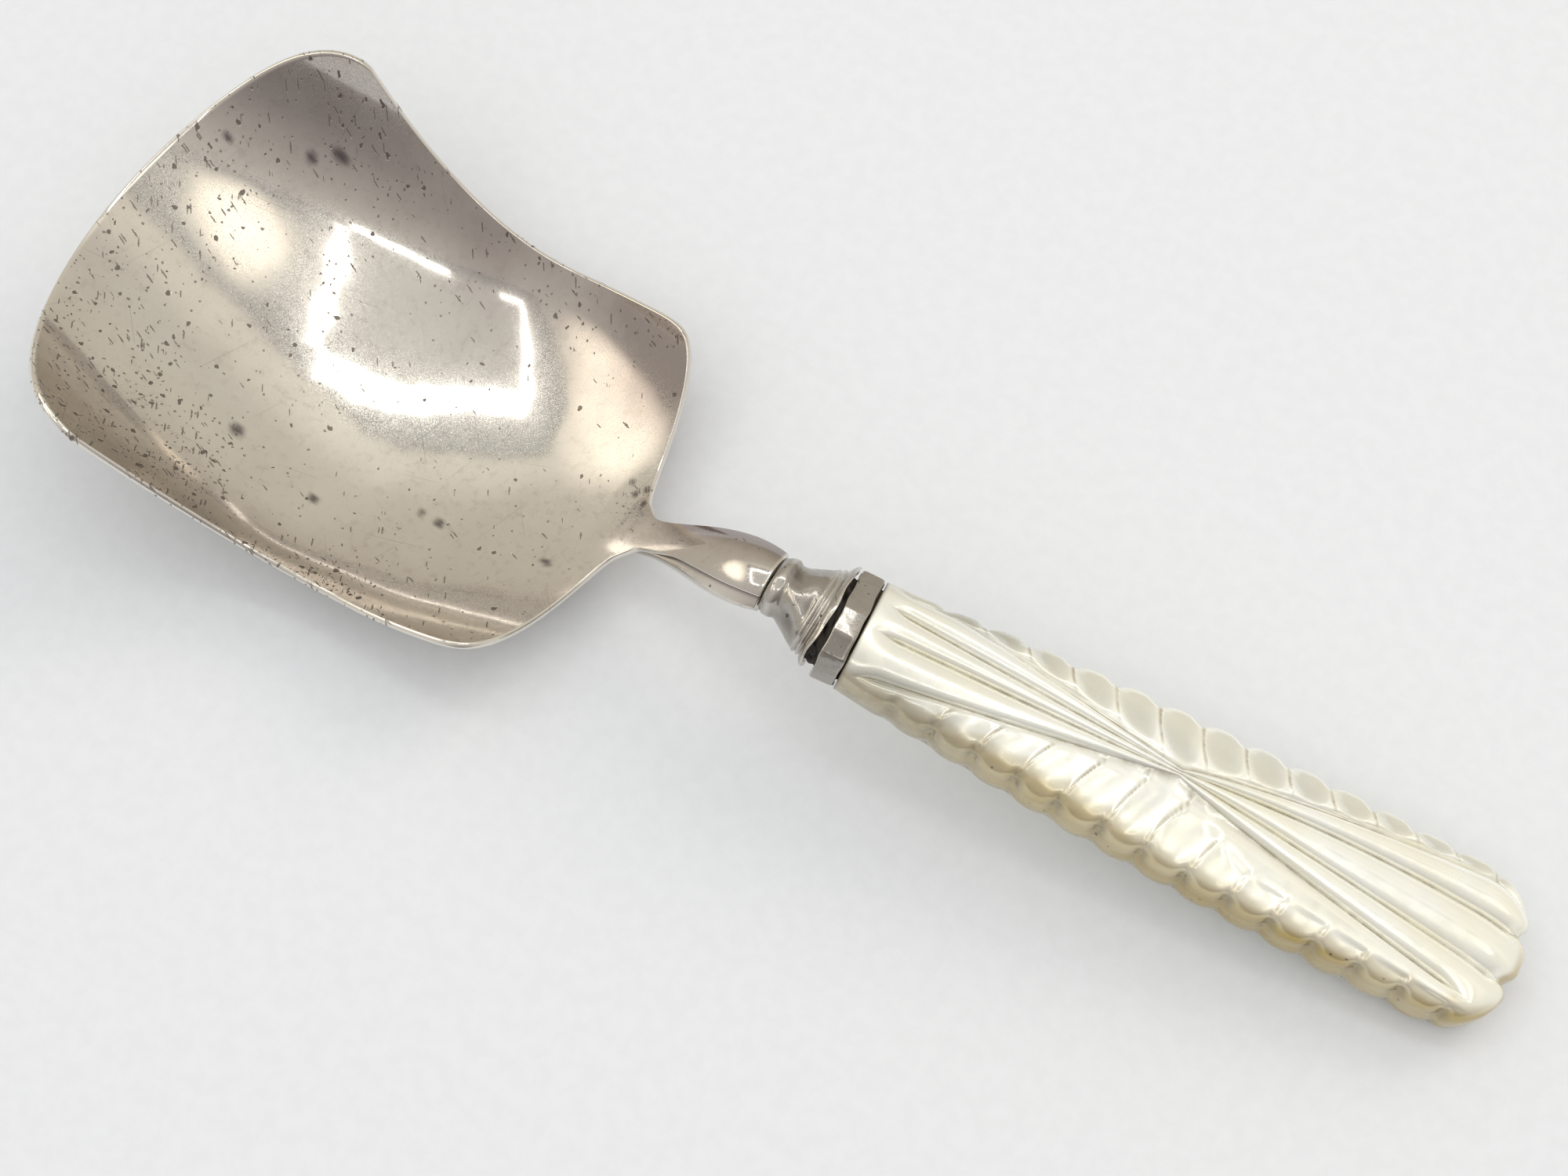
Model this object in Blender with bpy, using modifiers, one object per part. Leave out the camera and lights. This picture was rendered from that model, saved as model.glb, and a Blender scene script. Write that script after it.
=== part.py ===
"""Caddy spoon: a sheet silver shovel bowl on a short arched stem, with a moulded
ferrule, a collar and a carved mother of pearl handle.

Metres, +Z up.  The origin is the middle of the flat worn under the bowl, +X runs
along the bowl towards the handle, and the bowl is symmetric about the XZ plane.
The handle sits a little askew on its tang, so it leans to +Y and down to its tail,
which rests on the table with the bowl.
"""

import math

import bmesh
import bpy
import numpy as np
from mathutils import Matrix, Vector

# Bowl: raised from sheet
SHEET = 0.00055
TIP_REACH = 0.0294
LIP_DEPTH = 0.01256
LIP_POWER_ALONG = 1.36
LIP_POWER_ACROSS = 2.04
WAIST_X = 0.0039
WAIST_HALF_WIDTH = 0.01682
FRONT_FLARE = 0.00237
REAR_TAPER = 0.00225
SHOULDER_X = 0.00868
HEEL_LENGTH = 0.01292
HEEL_POWER = 7.4
HEEL_SWEEP = 9.2
LIP_RISE = 0.01158
LIP_CURVE = 1.58
HEEL_RISE = 0.00541
HEEL_CURVE = 1.86
DISH_SOFTNESS = 0.004
DISH_BLEND = 0.009
WALL_RISE = 0.00527
WALL_ROUND_SHARE = 0.56
WALL_POWER = 4.7
WALL_SPREAD = 1.09
FLAT_DEPTH = 0.00012

# Stem: the sheet runs on as an arched tongue, with a rod soldered under it
ROOT_X = 0.016
ROOT_HALF_WIDTH = 0.0035
ROOT_POWER = 4
NECK_HALF_WIDTH = 0.0013
STEM_HALF_WIDTH = 0.0024
STEM_END_HALF_WIDTH = 0.00215
NECK_HALF_DEPTH = 0.0011
STEM_HALF_DEPTH = 0.0022
STEM_END_HALF_DEPTH = 0.0019
TONGUE_CROWN = 0.0011
DROP_LENGTH = 0.0065
DROP_TIP_SHARE = 0.3

# Ferrule, its pitch and the tang
JOINT_X = 0.040
JOINT_HEIGHT = 0.0103
FERRULE_LENGTH = 0.0045
FERRULE_SMALL_RADIUS = 0.00215
FERRULE_RIM_RADIUS = 0.0044
FERRULE_RIM_FLATTEN = 0.76
FERRULE_WALL = 0.0005
FERRULE_TILT_ANGLE = math.radians(4.0)
TANG_RADIUS = 0.0009
TANG_DEPTH_IN_HANDLE = 0.020
PITCH_SETBACK = 0.0006

# Collar and handle
COLLAR_WIDTH = 0.0020
COLLAR_HALF_WIDTH = 0.0044
COLLAR_HALF_DEPTH = 0.0031
COLLAR_WALL = 0.0005
COLLAR_FACETS = 14
HANDLE_LEAN_ANGLE = math.radians(5.5)
HANDLE_LENGTH = 0.0544
HANDLE_FRONT_HALF_WIDTH = 0.00442
HANDLE_TAIL_HALF_WIDTH = 0.00645
HANDLE_FLARE_LENGTH = 0.042
HANDLE_FLARE_POWER = 2.1
HANDLE_HALF_DEPTH = 0.00285
HANDLE_FRONT_SQUARENESS = 3.0
HANDLE_TAIL_SQUARENESS = 4.6
TAIL_ROUND = 0.0052
TAIL_POWER = 2.3
TAIL_EDGE_POWER = 0.5
LOBE_START = 0.0045
LOBE_PITCH = 0.00352
LOBE_COUNT = 13
LOBE_DEPTH = 0.00045
LOBE_SIDE_POWER = 3
RIB_COUNT = 3
RIB_DEPTH = 0.00035
CROSSING = 0.0256
FAN_FRONT_HALF_WIDTH = 0.0043
FAN_TAIL_HALF_WIDTH = 0.0052
FAN_OFFSET = 0.0007
CEMENT_WALL = 0.0004

# Fits
CLEARANCE = 0.0002
COLLAR_LINE = 0.0003

# Fineness of the facets
SHARP_ANGLE = math.radians(40.0)
MERGE_DISTANCE = 1e-7
BOWL_ROWS = 46
BOWL_ROW_SHARE = 0.5
BOWL_COLUMNS = 20
STEM_ROWS = 18
STEM_SIDES = 16
TURNED_STEPS = 36
HANDLE_TOP_FACES = 18
HANDLE_SIDE_FACES = 4
HANDLE_FLOOR_FACES = 6
LEAD_STATIONS = 3
STATIONS_PER_LOBE = 4
TAIL_STATIONS = 8
TANG_BEVELS = 3
BORE_SIDES = 24
HALVINGS = 50


def smooth(value, start, end):
    """Ease from 0 at start to 1 at end."""
    share = np.clip((value - start) / (end - start), 0.0, 1.0)
    return share * share * (3.0 - 2.0 * share)


def clear_scene():
    """Start from an empty scene."""
    for item in list(bpy.data.objects):
        bpy.data.objects.remove(item, do_unlink=True)


def new_collection(name):
    """Add a collection to the scene."""
    group = bpy.data.collections.new(name)
    bpy.context.scene.collection.children.link(group)
    return group


def new_material(name, colour, roughness, metallic):
    """A Principled material of one colour."""
    material = bpy.data.materials.new(name)
    material.use_nodes = True
    shader = material.node_tree.nodes["Principled BSDF"]
    shader.inputs["Base Color"].default_value = (*colour, 1.0)
    shader.inputs["Roughness"].default_value = roughness
    shader.inputs["Metallic"].default_value = metallic
    return material


def new_object(name, mesh_builder, material, group, parent=None):
    """Turn a bmesh into a named, smooth shaded object."""
    mesh = bpy.data.meshes.new(name)
    bmesh.ops.recalc_face_normals(mesh_builder, faces=mesh_builder.faces[:])
    if mesh_builder.calc_volume(signed=True) < 0.0:
        bmesh.ops.reverse_faces(mesh_builder, faces=mesh_builder.faces[:])
    mesh_builder.to_mesh(mesh)
    mesh_builder.free()
    mesh.shade_smooth()
    mesh.set_sharp_from_angle(angle=SHARP_ANGLE)
    mesh.materials.append(material)
    item = bpy.data.objects.new(name, mesh)
    item.parent = parent
    group.objects.link(item)
    return item


def new_axis(name, pitch_down, lean, group):
    """An empty at the joint of ferrule and handle, whose +X is a piece's own axis."""
    axis = bpy.data.objects.new(name, None)
    axis.location = (JOINT_X, 0.0, JOINT_HEIGHT)
    axis.rotation_euler = (0.0, pitch_down, lean)
    group.objects.link(axis)
    return axis


def loft(rings):
    """Join closed rings of points into a capped solid."""
    builder = bmesh.new()
    rows = [[builder.verts.new(point) for point in ring] for ring in rings]
    count = len(rows[0])
    for near, far in zip(rows, rows[1:]):
        for index in range(count):
            following = (index + 1) % count
            builder.faces.new((near[index], near[following], far[following], far[index]))
    builder.faces.new(rows[0])
    builder.faces.new(rows[-1])
    return builder


def turned(profile, shape):
    """Spin a closed profile of (x, radius) about X and pass each point through shape."""
    builder = bmesh.new()
    corners = [builder.verts.new((x, 0.0, radius)) for x, radius in profile]
    edges = [builder.edges.new(pair) for pair in zip(corners, corners[1:] + corners[:1])]
    bmesh.ops.spin(
        builder,
        geom=corners + edges,
        axis=(1.0, 0.0, 0.0),
        cent=(0.0, 0.0, 0.0),
        steps=TURNED_STEPS,
        angle=math.tau,
        use_merge=True,
    )
    bmesh.ops.remove_doubles(builder, verts=builder.verts[:], dist=MERGE_DISTANCE)
    for vertex in builder.verts:
        vertex.co = shape(vertex.co)
    return builder


# Bowl and stem surface

FERRULE_RIM_X = -(
    COLLAR_WIDTH
    + CLEARANCE
    + COLLAR_HALF_WIDTH * math.tan(HANDLE_LEAN_ANGLE)
    + COLLAR_HALF_DEPTH * math.tan(FERRULE_TILT_ANGLE)
)
FERRULE_FRONT_X = FERRULE_RIM_X - FERRULE_LENGTH
STEM_END_X = (
    JOINT_X
    + FERRULE_FRONT_X * math.cos(FERRULE_TILT_ANGLE)
    - CLEARANCE
    - STEM_END_HALF_DEPTH * math.tan(FERRULE_TILT_ANGLE)
)
STEM_END_HEIGHT = JOINT_HEIGHT - FERRULE_FRONT_X * math.sin(FERRULE_TILT_ANGLE)
NECK_X = SHOULDER_X + HEEL_LENGTH
LIP_X = LIP_DEPTH - TIP_REACH
SEAT = SHEET / 2.0 - FLAT_DEPTH


def side_half_width(x):
    """Half width of the sheet: flared front, waist, shoulders, heel and stem."""
    flare = FRONT_FLARE * ((x - WAIST_X) / (LIP_X - WAIST_X)) ** 2
    taper = -REAR_TAPER * ((x - WAIST_X) / (NECK_X - WAIST_X)) ** 2
    bowl = WAIST_HALF_WIDTH + np.where(x < WAIST_X, flare, taper)
    share = np.clip((x - SHOULDER_X) / HEEL_LENGTH, 0.0, 1.0)
    heel = (1.0 - share**HEEL_POWER) ** HEEL_SWEEP
    return tongue_half_width(x) + (bowl - tongue_half_width(x)) * heel


def stem_swell(x, neck, full, end):
    """A size of the stem: it swells from the neck, then rounds in to the ferrule."""
    swell_end = STEM_END_X - STEM_HALF_WIDTH
    end_share = np.clip((x - swell_end) / STEM_HALF_WIDTH, 0.0, 1.0)
    return neck + (full - neck) * smooth(x, NECK_X, swell_end) + (end - full) * end_share**2


def tongue_half_width(x):
    """Half width of the tongue over the stem."""
    return stem_swell(x, NECK_HALF_WIDTH, STEM_HALF_WIDTH, STEM_END_HALF_WIDTH)


def stem_half_depth(x):
    """Half depth of the stem from the neck to the ferrule."""
    return stem_swell(x, NECK_HALF_DEPTH, STEM_HALF_DEPTH, STEM_END_HALF_DEPTH)


def dish(x, reach, rise, curve):
    """A power curve, rounded where it is lowest, that climbs to rise at reach."""
    bend = (1.0 + (x / DISH_SOFTNESS) ** 2) ** (curve / 2.0) - 1.0
    full = (1.0 + (reach / DISH_SOFTNESS) ** 2) ** (curve / 2.0) - 1.0
    return rise * bend / full


def bowl_spine(x):
    """Height of the dished sheet on the bowl's centre line."""
    lip = dish(x, TIP_REACH, LIP_RISE, LIP_CURVE)
    heel = dish(x, NECK_X, HEEL_RISE, HEEL_CURVE)
    return SEAT + lip + (heel - lip) * smooth(x, -DISH_BLEND, DISH_BLEND)


def spine_height(x):
    """Height of the sheet on the centre line: the bowl's dish, then the arch of the stem."""
    step = SHEET / 10.0
    start = bowl_spine(ROOT_X)
    start_slope = (bowl_spine(ROOT_X + step) - bowl_spine(ROOT_X - step)) / (2.0 * step)
    span = STEM_END_X - ROOT_X
    climb = STEM_END_HEIGHT + STEM_END_HALF_DEPTH - SHEET / 2.0 - start
    share = np.clip((x - ROOT_X) / span, 0.0, 1.0)
    lead = start_slope * span * share * (1.0 - share) ** 2
    arch = start + lead + climb * share**2 * (3.0 - 2.0 * share)
    return np.where(x < ROOT_X, bowl_spine(x), arch)


def sheet_height(x, y):
    """Height of the middle of the sheet: dish and walls, the stem's root, and the tongue's crown."""
    side = np.abs(y) / WAIST_HALF_WIDTH
    section = WALL_ROUND_SHARE * side**2 + (1.0 - WALL_ROUND_SHARE) * side**WALL_POWER
    wall = WALL_RISE * section * (1.0 + WALL_SPREAD * (x / TIP_REACH) ** 2)
    root = (spine_height(x) - bowl_spine(x)) / (1.0 + (y / ROOT_HALF_WIDTH) ** ROOT_POWER)
    crown = TONGUE_CROWN * smooth(x, NECK_X, STEM_END_X) * (y / side_half_width(x)) ** 2
    return bowl_spine(x) + wall + root - crown


def sheet_point(along, across):
    """A point of the sheet, from shares along its length and across its width."""
    turn = across * math.pi / 2.0
    fraction = math.copysign(abs(math.sin(turn)) ** (2.0 / LIP_POWER_ACROSS), across)
    front = LIP_X - LIP_DEPTH * abs(math.cos(turn)) ** (2.0 / LIP_POWER_ALONG)
    if along < BOWL_ROW_SHARE:
        x = front + (SHOULDER_X - front) * along / BOWL_ROW_SHARE
    else:
        x = SHOULDER_X + (STEM_END_X - SHOULDER_X) * (along - BOWL_ROW_SHARE) / (1.0 - BOWL_ROW_SHARE)
    y = fraction * float(side_half_width(x))
    return Vector((x, y, float(sheet_height(x, y))))


def build_bowl(material, group, cutters):
    """The sheet as an open grid with Solidify, worn flat underneath."""
    builder = bmesh.new()
    bmesh.ops.create_grid(builder, x_segments=BOWL_ROWS, y_segments=BOWL_COLUMNS, size=1.0)
    for vertex in builder.verts:
        vertex.co = sheet_point((vertex.co.x + 1.0) / 2.0, vertex.co.y)
    bowl = new_object("bowl", builder, material, group)
    wall = bowl.modifiers.new("sheet", "SOLIDIFY")
    wall.thickness = SHEET
    wall.offset = 0.0
    wall.use_even_offset = True

    bench = bmesh.new()
    bmesh.ops.create_cube(bench, size=1.0)
    depth = SHEET
    size = Matrix.Diagonal((TIP_REACH, WAIST_HALF_WIDTH, depth, 1.0))
    bench.transform(Matrix.Translation((0.0, 0.0, -depth / 2.0)) @ size)
    cutter = new_object("bench_cutter", bench, material, cutters)
    cutter.hide_render = True
    cutter.display_type = "WIRE"
    flat = bowl.modifiers.new("worn flat", "BOOLEAN")
    flat.operation = "DIFFERENCE"
    flat.object = cutter
    return bowl


def stem_ring(x):
    """Section of the rod under the tongue: an ellipse clipped by the sheet above it."""
    taper = DROP_TIP_SHARE + (1.0 - DROP_TIP_SHARE) * float(smooth(x, NECK_X - DROP_LENGTH, NECK_X))
    half_width = float(tongue_half_width(x)) * taper
    half_depth = float(stem_half_depth(x)) * taper
    step = SHEET / 10.0
    slope = float(spine_height(x + step) - spine_height(x - step)) / (2.0 * step)
    drop = SHEET / 2.0 * math.hypot(1.0, slope) + CLEARANCE
    middle = float(spine_height(x)) + SHEET / 2.0 - float(stem_half_depth(x)) * taper - (1.0 - taper) * SHEET
    ring = []
    for index in range(STEM_SIDES):
        angle = math.tau * index / STEM_SIDES
        y = half_width * math.cos(angle)
        below = float(sheet_height(x, y)) - drop
        z = min(middle + half_depth * math.sin(angle), below)
        ring.append(Vector((x, y, z)))
    return ring


def build_stem_back(material, group):
    """The rod soldered under the tongue, running out under the heel as a drop."""
    start = NECK_X - DROP_LENGTH
    rings = [stem_ring(start + (STEM_END_X - start) * row / STEM_ROWS) for row in range(STEM_ROWS + 1)]
    return new_object("stem_back", loft(rings), material, group)


# Ferrule and what fills it

def ferrule_profile():
    """Outer line of the ferrule from the stem to the rim, as (x, radius)."""
    step = FERRULE_RIM_RADIUS - FERRULE_SMALL_RADIUS
    marks = (
        (0.0, -0.04),
        (0.07, 0.14),
        (0.16, 0.25),
        (0.25, 0.25),
        (0.30, 0.19),
        (0.38, 0.34),
        (0.56, 0.56),
        (0.62, 0.63),
        (0.70, 0.60),
        (0.79, 0.67),
        (0.84, 0.72),
        (0.89, 0.93),
        (0.95, 1.0),
        (1.0, 1.0),
    )
    return [
        (FERRULE_FRONT_X + along * FERRULE_LENGTH, FERRULE_SMALL_RADIUS + out * step)
        for along, out in marks
    ]


def oval(point):
    """Flatten a round section towards the ferrule's oval rim, leaving the tang's hole round."""
    along = float(smooth(point.x, FERRULE_FRONT_X, FERRULE_RIM_X))
    radius = math.hypot(point.y, point.z)
    hole = TANG_RADIUS + CLEARANCE
    outward = min(max((radius - hole) / (FERRULE_RIM_RADIUS - hole), 0.0), 1.0)
    flatten = 1.0 - (1.0 - FERRULE_RIM_FLATTEN) * along * outward
    return Vector((point.x, point.y, point.z * flatten))


def build_ferrule(material, group, axis):
    """Thin moulded socket between stem and handle."""
    outer = ferrule_profile()
    inner = [(x, radius - FERRULE_WALL) for x, radius in outer[2:]]
    floor_x = inner[0][0]
    hole = TANG_RADIUS + CLEARANCE
    front_x = outer[0][0]
    profile = outer + inner[::-1] + [(floor_x, hole), (front_x, hole)]
    return new_object("ferrule", turned(profile, oval), material, group, axis)


def build_ferrule_pitch(material, group, axis):
    """The pitch that beds the tang in the ferrule, short of its mouth."""
    mouth = FERRULE_RIM_X - PITCH_SETBACK
    shell = [(x, radius - FERRULE_WALL - CLEARANCE) for x, radius in ferrule_profile()[2:]]
    inside = [(x + CLEARANCE, radius) for x, radius in shell if x + 2.0 * CLEARANCE < mouth]
    hole = TANG_RADIUS + CLEARANCE
    profile = inside + [(mouth, inside[-1][1]), (mouth, hole), (inside[0][0], hole)]
    return new_object("ferrule_pitch", turned(profile, oval), material, group, axis)


def build_tang(material, group, handle_axis, ferrule_axis):
    """Iron rod from the end of the stem through ferrule and collar into the handle."""
    bpy.context.view_layer.update()
    back = ferrule_axis.matrix_world
    ahead = handle_axis.matrix_world
    start = FERRULE_FRONT_X + CLEARANCE
    bend = COLLAR_WIDTH / 2.0
    path = [back @ Vector((start, 0.0, 0.0)), back @ Vector((-bend, 0.0, 0.0))]
    path += [ahead @ Vector((bend, 0.0, 0.0)), ahead @ Vector((TANG_DEPTH_IN_HANDLE, 0.0, 0.0))]
    curve = bpy.data.curves.new("tang", "CURVE")
    curve.dimensions = "3D"
    curve.bevel_depth = TANG_RADIUS
    curve.bevel_resolution = TANG_BEVELS
    curve.use_fill_caps = True
    spline = curve.splines.new("POLY")
    spline.points.add(len(path) - 1)
    for point, place in zip(spline.points, path):
        point.co = (*place, 1.0)
    curve.materials.append(material)
    tang = bpy.data.objects.new("tang", curve)
    group.objects.link(tang)
    return tang


# Collar and handle

def squircle(across, up, half_width, half_depth, power):
    """Carry a point of the unit square onto a rounded section."""
    reach = (abs(across) ** power + abs(up) ** power) ** (-1.0 / power)
    return half_width * across * reach, half_depth * up * reach


def build_collar(material, group, axis):
    """Strip bent round the handle's front end into a faceted oval ring."""
    profile = [(-COLLAR_WIDTH, 1.0), (0.0, 1.0), (0.0, 0.0), (-COLLAR_WIDTH, 0.0)]
    rings = []
    for x, outward in profile:
        ring = []
        for index in range(COLLAR_FACETS):
            angle = math.tau * (index + 0.5) / COLLAR_FACETS
            half_width = COLLAR_HALF_WIDTH - COLLAR_WALL * (1.0 - outward)
            half_depth = COLLAR_HALF_DEPTH - COLLAR_WALL * (1.0 - outward)
            y, z = squircle(
                math.cos(angle), math.sin(angle), half_width, half_depth, HANDLE_FRONT_SQUARENESS
            )
            ring.append(Vector((x, y, z)))
        rings.append(ring)
    builder = bmesh.new()
    rows = [[builder.verts.new(point) for point in ring] for ring in rings]
    for near, far in zip(rows, rows[1:] + rows[:1]):
        for index in range(COLLAR_FACETS):
            following = (index + 1) % COLLAR_FACETS
            builder.faces.new((near[index], near[following], far[following], far[index]))
    return new_object("collar", builder, material, group, axis)


def tail_share(s):
    """How much of the full section is left where the tail rounds off."""
    into_round = np.clip((s - HANDLE_LENGTH + TAIL_ROUND) / TAIL_ROUND, 0.0, 1.0)
    return (1.0 - into_round**TAIL_POWER) ** (1.0 / TAIL_POWER)


def handle_half_width(s):
    """Half width of the uncarved handle at a distance from the collar."""
    flare = HANDLE_TAIL_HALF_WIDTH - HANDLE_FRONT_HALF_WIDTH
    left = np.clip(1.0 - s / HANDLE_FLARE_LENGTH, 0.0, 1.0)
    return (HANDLE_FRONT_HALF_WIDTH + flare * (1.0 - left**HANDLE_FLARE_POWER)) * tail_share(s)


def handle_half_depth(s):
    """Half depth of the uncarved handle: full almost to the end, where its edge is rounded."""
    return HANDLE_HALF_DEPTH * tail_share(s) ** TAIL_EDGE_POWER


def lobe_cut(s):
    """Valleys between the side lobes: 1 in a valley, 0 on a crest."""
    phase = (s - LOBE_START) / LOBE_PITCH
    carved = smooth(phase, -0.5, 0.0) * (1.0 - smooth(phase, LOBE_COUNT, LOBE_COUNT + 0.5))
    return carved * (1.0 - np.abs(np.sin(math.pi * phase)))


def fan_half_width(s):
    """Half width of the fan of ribs, narrowest where the two fans cross."""
    front = FAN_FRONT_HALF_WIDTH * (1.0 - s / CROSSING)
    rear = FAN_TAIL_HALF_WIDTH * (s - CROSSING) / (HANDLE_LENGTH - CROSSING)
    return np.maximum(np.maximum(front, rear), RIB_DEPTH)


def handle_ring(s):
    """Carved section of the handle: ribs on top, lobes on the shoulders and sides."""
    half_width = float(handle_half_width(s))
    half_depth = float(handle_half_depth(s))
    toward_tail = float(smooth(s, 0.0, HANDLE_FLARE_LENGTH))
    power = HANDLE_FRONT_SQUARENESS + (HANDLE_TAIL_SQUARENESS - HANDLE_FRONT_SQUARENESS) * toward_tail
    fan = float(fan_half_width(s))
    offset = FAN_OFFSET * (1.0 - toward_tail)
    rib_depth = RIB_DEPTH * min(1.0, fan / FAN_FRONT_HALF_WIDTH) * float(smooth(s, 0.0, LOBE_START))
    cut = LOBE_DEPTH * float(lobe_cut(s))
    ring = []
    for across, up in handle_outline():
        y, z = squircle(across, up, half_width, half_depth, power)
        fan_place = (y - offset) / fan
        on_top = up == 1.0
        if on_top and abs(fan_place) < 1.0:
            z -= rib_depth * (1.0 - abs(math.sin(math.pi * RIB_COUNT * (fan_place + 1.0) / 2.0)))
        elif on_top:
            z -= cut * min(1.0, abs(fan_place) - 1.0)
        y -= math.copysign(cut, across) * abs(across) ** LOBE_SIDE_POWER
        ring.append(Vector((s, y, z)))
    return ring


def handle_outline():
    """The unit square walked anticlockwise, with most points on the carved top."""
    walk = []
    for index in range(HANDLE_TOP_FACES):
        walk.append((1.0 - 2.0 * index / HANDLE_TOP_FACES, 1.0))
    for index in range(HANDLE_SIDE_FACES):
        walk.append((-1.0, 1.0 - 2.0 * index / HANDLE_SIDE_FACES))
    for index in range(HANDLE_FLOOR_FACES):
        walk.append((-1.0 + 2.0 * index / HANDLE_FLOOR_FACES, -1.0))
    for index in range(HANDLE_SIDE_FACES):
        walk.append((1.0, -1.0 + 2.0 * index / HANDLE_SIDE_FACES))
    return walk


def spigot_ring(s):
    """Section of the handle where it is cut down to fit inside the collar."""
    inset = COLLAR_WALL + CLEARANCE
    return [
        Vector((s, *squircle(
            across,
            up,
            COLLAR_HALF_WIDTH - inset,
            COLLAR_HALF_DEPTH - inset,
            HANDLE_FRONT_SQUARENESS,
        )))
        for across, up in handle_outline()
    ]


def handle_stations():
    """Distances from the collar at which the handle's sections are taken."""
    step = LOBE_PITCH / STATIONS_PER_LOBE
    first = COLLAR_LINE
    body_end = HANDLE_LENGTH - TAIL_ROUND
    count = math.ceil((body_end - LOBE_START) / step)
    lead = [first + (LOBE_START - first) * index / LEAD_STATIONS for index in range(LEAD_STATIONS)]
    body = [LOBE_START + (body_end - LOBE_START) * index / count for index in range(count)]
    quarter = math.pi / 2.0
    turns = [quarter * index / TAIL_STATIONS for index in range(TAIL_STATIONS)]
    return lead + body + [body_end + TAIL_ROUND * math.sin(turn) for turn in turns]


def handle_pitch_down():
    """Slope at which the underside of the tail just meets the table."""
    stations = np.array(handle_stations())
    low = 0.0
    high = math.pi / 2.0
    for _ in range(HALVINGS):
        slope = (low + high) / 2.0
        drop = stations * math.sin(slope) + handle_half_depth(stations) * math.cos(slope)
        if drop.max() < JOINT_HEIGHT:
            low = slope
        else:
            high = slope
    return low


def bore_cutter(cutters, axis, material):
    """Drill for the tang's hole."""
    start = -COLLAR_WIDTH
    end = TANG_DEPTH_IN_HANDLE + CLEARANCE
    builder = bmesh.new()
    bmesh.ops.create_cone(
        builder,
        cap_ends=True,
        segments=BORE_SIDES,
        radius1=bore_radius(),
        radius2=bore_radius(),
        depth=end - start,
    )
    turn = Matrix.Rotation(math.pi / 2.0, 4, "Y")
    builder.transform(Matrix.Translation(((start + end) / 2.0, 0.0, 0.0)) @ turn)
    cutter = new_object("bore_cutter", builder, material, cutters, axis)
    cutter.hide_render = True
    cutter.display_type = "WIRE"
    return cutter


def bore_radius():
    """Radius of the hole drilled for the tang and its cement."""
    return TANG_RADIUS + 2.0 * CLEARANCE + CEMENT_WALL


def build_handle(material, group, cutters, axis):
    """One piece of pearl shell: spigot, carved body and a hole for the tang."""
    spigot = [spigot_ring(CLEARANCE - COLLAR_WIDTH), spigot_ring(COLLAR_LINE)]
    body = [handle_ring(s) for s in handle_stations()]
    handle = new_object("handle", loft(spigot + body), material, group, axis)
    bore = handle.modifiers.new("bore", "BOOLEAN")
    bore.operation = "DIFFERENCE"
    bore.object = bore_cutter(cutters, axis, material)
    return handle


def build_bore_cement(material, group, axis):
    """Sleeve of cement between the tang and the handle's bore."""
    outer = bore_radius() - CLEARANCE
    inner = outer - CEMENT_WALL
    start = COLLAR_WIDTH / 2.0
    end = TANG_DEPTH_IN_HANDLE - CLEARANCE
    profile = [(start, outer), (end, outer), (end, inner), (start, inner)]
    return new_object("bore_cement", turned(profile, Vector), material, group, axis)


def main():
    """Build every piece of the spoon."""
    clear_scene()
    spoon = new_collection("caddy_spoon")
    cutters = new_collection("caddy_spoon_cutters")
    silver = new_material("silver", (0.62, 0.59, 0.53), 0.28, 1.0)
    worn_silver = new_material("worn_silver", (0.52, 0.48, 0.44), 0.38, 1.0)
    pearl = new_material("mother_of_pearl", (0.80, 0.76, 0.64), 0.25, 0.0)
    pitch = new_material("pitch", (0.03, 0.025, 0.02), 0.6, 0.0)
    iron = new_material("iron", (0.12, 0.10, 0.09), 0.55, 1.0)

    ferrule_axis = new_axis("ferrule_axis", FERRULE_TILT_ANGLE, 0.0, spoon)
    handle_axis = new_axis("handle_axis", handle_pitch_down(), HANDLE_LEAN_ANGLE, spoon)

    build_bowl(silver, spoon, cutters)
    build_stem_back(silver, spoon)
    build_ferrule(worn_silver, spoon, ferrule_axis)
    build_ferrule_pitch(pitch, spoon, ferrule_axis)
    build_tang(iron, spoon, handle_axis, ferrule_axis)
    build_collar(worn_silver, spoon, handle_axis)
    build_handle(pearl, spoon, cutters, handle_axis)
    build_bore_cement(pitch, spoon, handle_axis)


main()
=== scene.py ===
"""Looks of a caddy spoon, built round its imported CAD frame.

The bowl is raised from sheet silver and runs on as an arched tongue over a soldered rod.
A crumpled ferrule and a faceted collar join it to a handle carved from one piece of mother
of pearl.  Metres, +Z up, in the frame of the CAD: the origin is the flat under the bowl and
+X runs along the bowl towards the handle.
"""

import logging
import math
from dataclasses import dataclass, field
from enum import Enum

import bpy
import numpy as np
from mathutils import Matrix, Vector

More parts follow.
